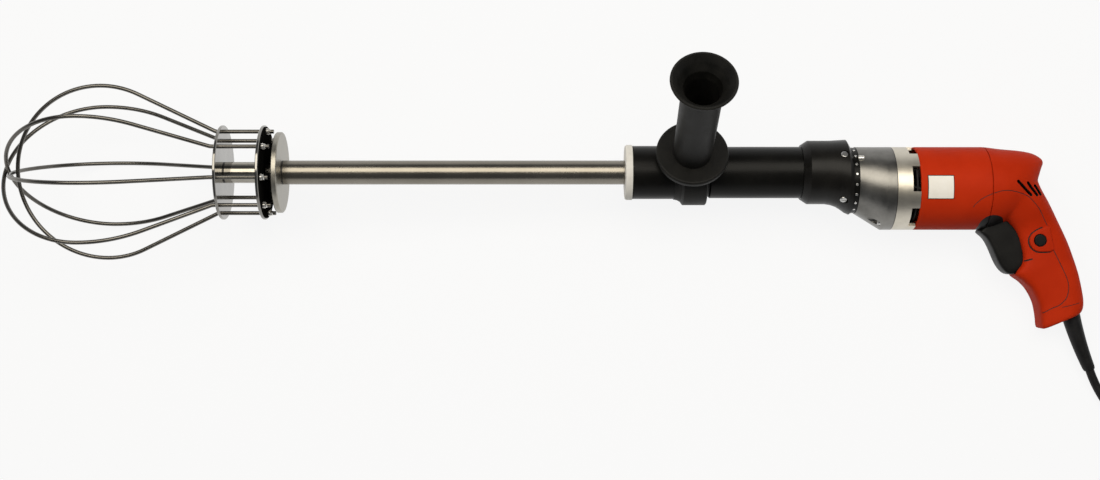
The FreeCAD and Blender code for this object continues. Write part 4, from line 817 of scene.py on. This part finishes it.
for step in range(sleeve_steps + 1):
    t = step / sleeve_steps
    radius = sleeve_root_radius + (sleeve_tip_radius - sleeve_root_radius) * t
    if step == sleeve_steps:
        radius = sleeve_mouth_radius
    middle = sleeve_root + lead_out * (sleeve_length * t - sleeve_sunk)
    middle -= lead_side * sleeve_bow * t * (1 - t)
    ring = []
    for number in range(32):
        angle = 2 * math.pi * number / 32
        ring.append(middle + (lead_side * math.cos(angle) + far_side * math.sin(angle)) * radius)
    sleeve_rings.append(ring)
sleeve = lofted("lead_sleeve", sleeve_rings)
bpy.ops.object.shade_smooth_by_angle(angle=math.radians(40))
sleeve.data.materials.append(lead_rubber)
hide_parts("strain_relief")
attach(sleeve, "housing")

# The coil's half turns spiral in, climb a layer where the spiral turns round, and spiral out again.
lead_start = sleeve_root + lead_out * (sleeve_length - sleeve_sunk)
lead_knots = [lead_start, lead_start + lead_out * 0.024]
floor_height = 0.00575
lead_knots.append(Vector((lead_knots[1].x + 0.027, lead_knots[1].y - 0.036, floor_height)))
into = Vector((1, -1, 0)).normalized()
coil_side = Vector((-1, -1, 0)).normalized()
coil_start = lead_knots[2] + into * 0.040
lead_knots.append(coil_start)
widest_turn = 0.065
turn_step = 0.0048
climb = 0.0048
halves_in = 8
halves_out = 6
knots_per_half = 8
half_turns = [widest_turn - turn_step * number for number in range(halves_in)]
half_turns += [half_turns[-1] + turn_step * (number + 1) for number in range(halves_out)]
widen = 1 / math.cos(math.pi / (2 * knots_per_half))
here = coil_start
sense = 1
for number, radius in enumerate(half_turns):
    inward = -coil_side * sense * radius
    if number == halves_in - 1:
        inward = (inward + Vector((0, 0, climb))).normalized() * radius
    forward = Vector((-coil_side.y, coil_side.x, 0)) * sense * radius
    for step in range(knots_per_half):
        angle = math.pi * (step + 0.5) / knots_per_half
        lead_knots.append(here + inward + (forward * math.sin(angle) - inward * math.cos(angle)) * widen)
    here = here + inward * 2
    sense = -sense
lead_knots.append(here + into * 0.034)
plug_height = 0.0125
lead_knots.append(lead_knots[-1] + Vector((0.036, -0.021, plug_height - here.z)))
lead_knots.append(lead_knots[-1] + Vector((0.034, -0.009, 0)))
lead_curve = bpy.data.curves.new("mains_lead", "CURVE")
lead_curve.dimensions = "3D"
lead_curve.bevel_depth = 0.0045
lead_curve.bevel_resolution = 5
lead_curve.resolution_u = 6
lead_curve.use_fill_caps = True
run_line = lead_curve.splines.new("NURBS")
run_line.points.add(len(lead_knots) - 1)
for knot, point in zip(run_line.points, lead_knots):
    knot.co = (*point, 1)
run_line.order_u = 3
run_line.use_endpoint_u = True
lead = bpy.data.objects.new("mains_lead", lead_curve)
bpy.context.collection.objects.link(lead)
lead.data.materials.append(lead_rubber)
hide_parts("cord_lead", "cord_coil", "cord_tail")
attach(lead, "housing")

# A strap of black hook-and-loop tape goes round the coil's bundle and closes on itself.
bundle_out = 0.0688
bundle_in = 0.0276
bundle_top = 0.0170
bundle_low = 0.0044
strap_corner = 0.0032
strap_half = 0.007
coil_middle = coil_start - coil_side * widest_turn
band = []
for corner_x, corner_z, first in ((bundle_out, bundle_top, 0), (bundle_in, bundle_top, 90),
                                  (bundle_in, bundle_low, 180), (bundle_out, bundle_low, 270)):
    for step in range(7):
        angle = math.radians(first + 15 * step)
        band.append((corner_x + strap_corner * math.cos(angle), corner_z + strap_corner * math.sin(angle)))
strap_rings = []
for share in (-1, -0.5, 0, 0.5, 1):
    ring = []
    for x, z in band:
        ring.append(Vector((coil_middle.x, coil_middle.y, z)) + into * x + coil_side * strap_half * share)
    strap_rings.append(ring)
strap = lofted("lead_strap", strap_rings, closed=False)
tape = strap.modifiers.new("tape", "SOLIDIFY")
tape.thickness = 0.0012
tape.offset = 1.0
bpy.ops.object.modifier_apply(modifier="tape")
bpy.ops.object.shade_smooth_by_angle(angle=math.radians(40))
woven_tape = surface("woven_tape", (0.010, 0.010, 0.011), (0.030, 0.030, 0.032), size=900, smooth=0.75,
                     rough=0.92, fineness=2400, depth=0.7, height=0.0005)
strap.data.materials.append(woven_tape)
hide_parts("cord_tie")
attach(strap, "housing")


# The studio: a sheet of pale paper under the tool, lit softly from above the tool's upper edge.
# The paper and the air near the horizon show as white to the camera and in mirrors.
bpy.ops.mesh.primitive_grid_add(x_subdivisions=4, y_subdivisions=4, size=12)
floor = bpy.context.object
floor.name = "studio_floor"


def seen_rays(nodes, links):
    """The socket that is 1 for rays that show a background, straight, mirrored or through glass."""
    path = nodes.new("ShaderNodeLightPath")
    found = path.outputs["Is Camera Ray"]
    for kind in ("Is Glossy Ray", "Is Transmission Ray"):
        either = nodes.new("ShaderNodeMath")
        either.operation = "MAXIMUM"
        links.new(found, either.inputs[0])
        links.new(path.outputs[kind], either.inputs[1])
        found = either.outputs[0]
    return found


paper = bpy.data.materials.new("floor_paper")
paper.use_nodes = True
paper_nodes = paper.node_tree.nodes
paper_links = paper.node_tree.links
paper_nodes["Principled BSDF"].inputs["Base Color"].default_value = (0.68, 0.68, 0.67, 1)
paper_nodes["Principled BSDF"].inputs["Roughness"].default_value = 0.9
glow = paper_nodes.new("ShaderNodeEmission")
glow.inputs["Strength"].default_value = 1.0
white_share = paper_nodes.new("ShaderNodeMath")
white_share.operation = "MULTIPLY"
white_share.inputs[1].default_value = 0.89
both = paper_nodes.new("ShaderNodeMixShader")
paper_links.new(seen_rays(paper_nodes, paper_links), white_share.inputs[0])
paper_links.new(white_share.outputs[0], both.inputs[0])
paper_links.new(paper_nodes["Principled BSDF"].outputs[0], both.inputs[1])
paper_links.new(glow.outputs[0], both.inputs[2])
paper_links.new(both.outputs[0], paper_nodes["Material Output"].inputs["Surface"])
floor.data.materials.append(paper)

# One long soft light hangs above the tool's upper edge.
long_light = bpy.data.lights.new("long_light", "AREA")
long_light.shape = "RECTANGLE"
long_light.size = 2.8
long_light.size_y = 1.3
long_light.energy = 41
long_light.color = (1.0, 0.94, 0.83)
softbox = bpy.data.objects.new("long_light", long_light)
bpy.context.collection.objects.link(softbox)
softbox.location = (0.0, 0.52, 1.88)
light_target = Vector((0.0, 0.0, 0.05))
softbox.rotation_euler = (light_target - softbox.location).to_track_quat("-Z", "Y").to_euler()

# The air overhead is a low grey; near the horizon, mirrors and the camera see a white wall.
world = bpy.data.worlds.new("studio_air")
world.use_nodes = True
bpy.context.scene.world = world
air = world.node_tree.nodes
air_links = world.node_tree.links
air["Background"].inputs["Color"].default_value = (0.92, 0.95, 1.0, 1)
air["Background"].inputs["Strength"].default_value = 0.14
white = air.new("ShaderNodeBackground")
white.inputs["Strength"].default_value = 1.0
air_way = air.new("ShaderNodeTexCoord")
air_rise = air.new("ShaderNodeSeparateXYZ")
air_wall = air.new("ShaderNodeMapRange")
air_wall.inputs["From Min"].default_value = 0.2
air_wall.inputs["From Max"].default_value = 0.34
air_wall.inputs["To Min"].default_value = 1.0
air_wall.inputs["To Max"].default_value = 0.0
air_share = air.new("ShaderNodeMath")
air_share.operation = "MULTIPLY"
air_mix = air.new("ShaderNodeMixShader")
air_links.new(air_way.outputs["Generated"], air_rise.inputs[0])
air_links.new(air_rise.outputs["Z"], air_wall.inputs["Value"])
air_links.new(air_wall.outputs["Result"], air_share.inputs[0])
air_links.new(seen_rays(air, air_links), air_share.inputs[1])
air_links.new(air_share.outputs[0], air_mix.inputs[0])
air_links.new(air["Background"].outputs[0], air_mix.inputs[1])
air_links.new(white.outputs[0], air_mix.inputs[2])
air_links.new(air_mix.outputs[0], air["World Output"].inputs["Surface"])
bpy.context.scene.view_settings.view_transform = "Standard"


# The camera, a 50 mm lens on a full frame, looks straight down on the tool's flank from 1.6 m.
# The tool lies across the picture with its whisk at the left.
camera_data = bpy.data.cameras.new("photo_camera")
camera_data.lens = 50
camera_data.sensor_width = 36
camera = bpy.data.objects.new("photo_camera", camera_data)
bpy.context.collection.objects.link(camera)
camera_distance = 1589
picture_middle = -70.2
stand = Matrix((shaft_line, crown, -far_side)).transposed().to_4x4()
stand.translation = spot(0, -camera_distance, picture_middle)
camera.matrix_world = stand
bpy.context.scene.camera = camera
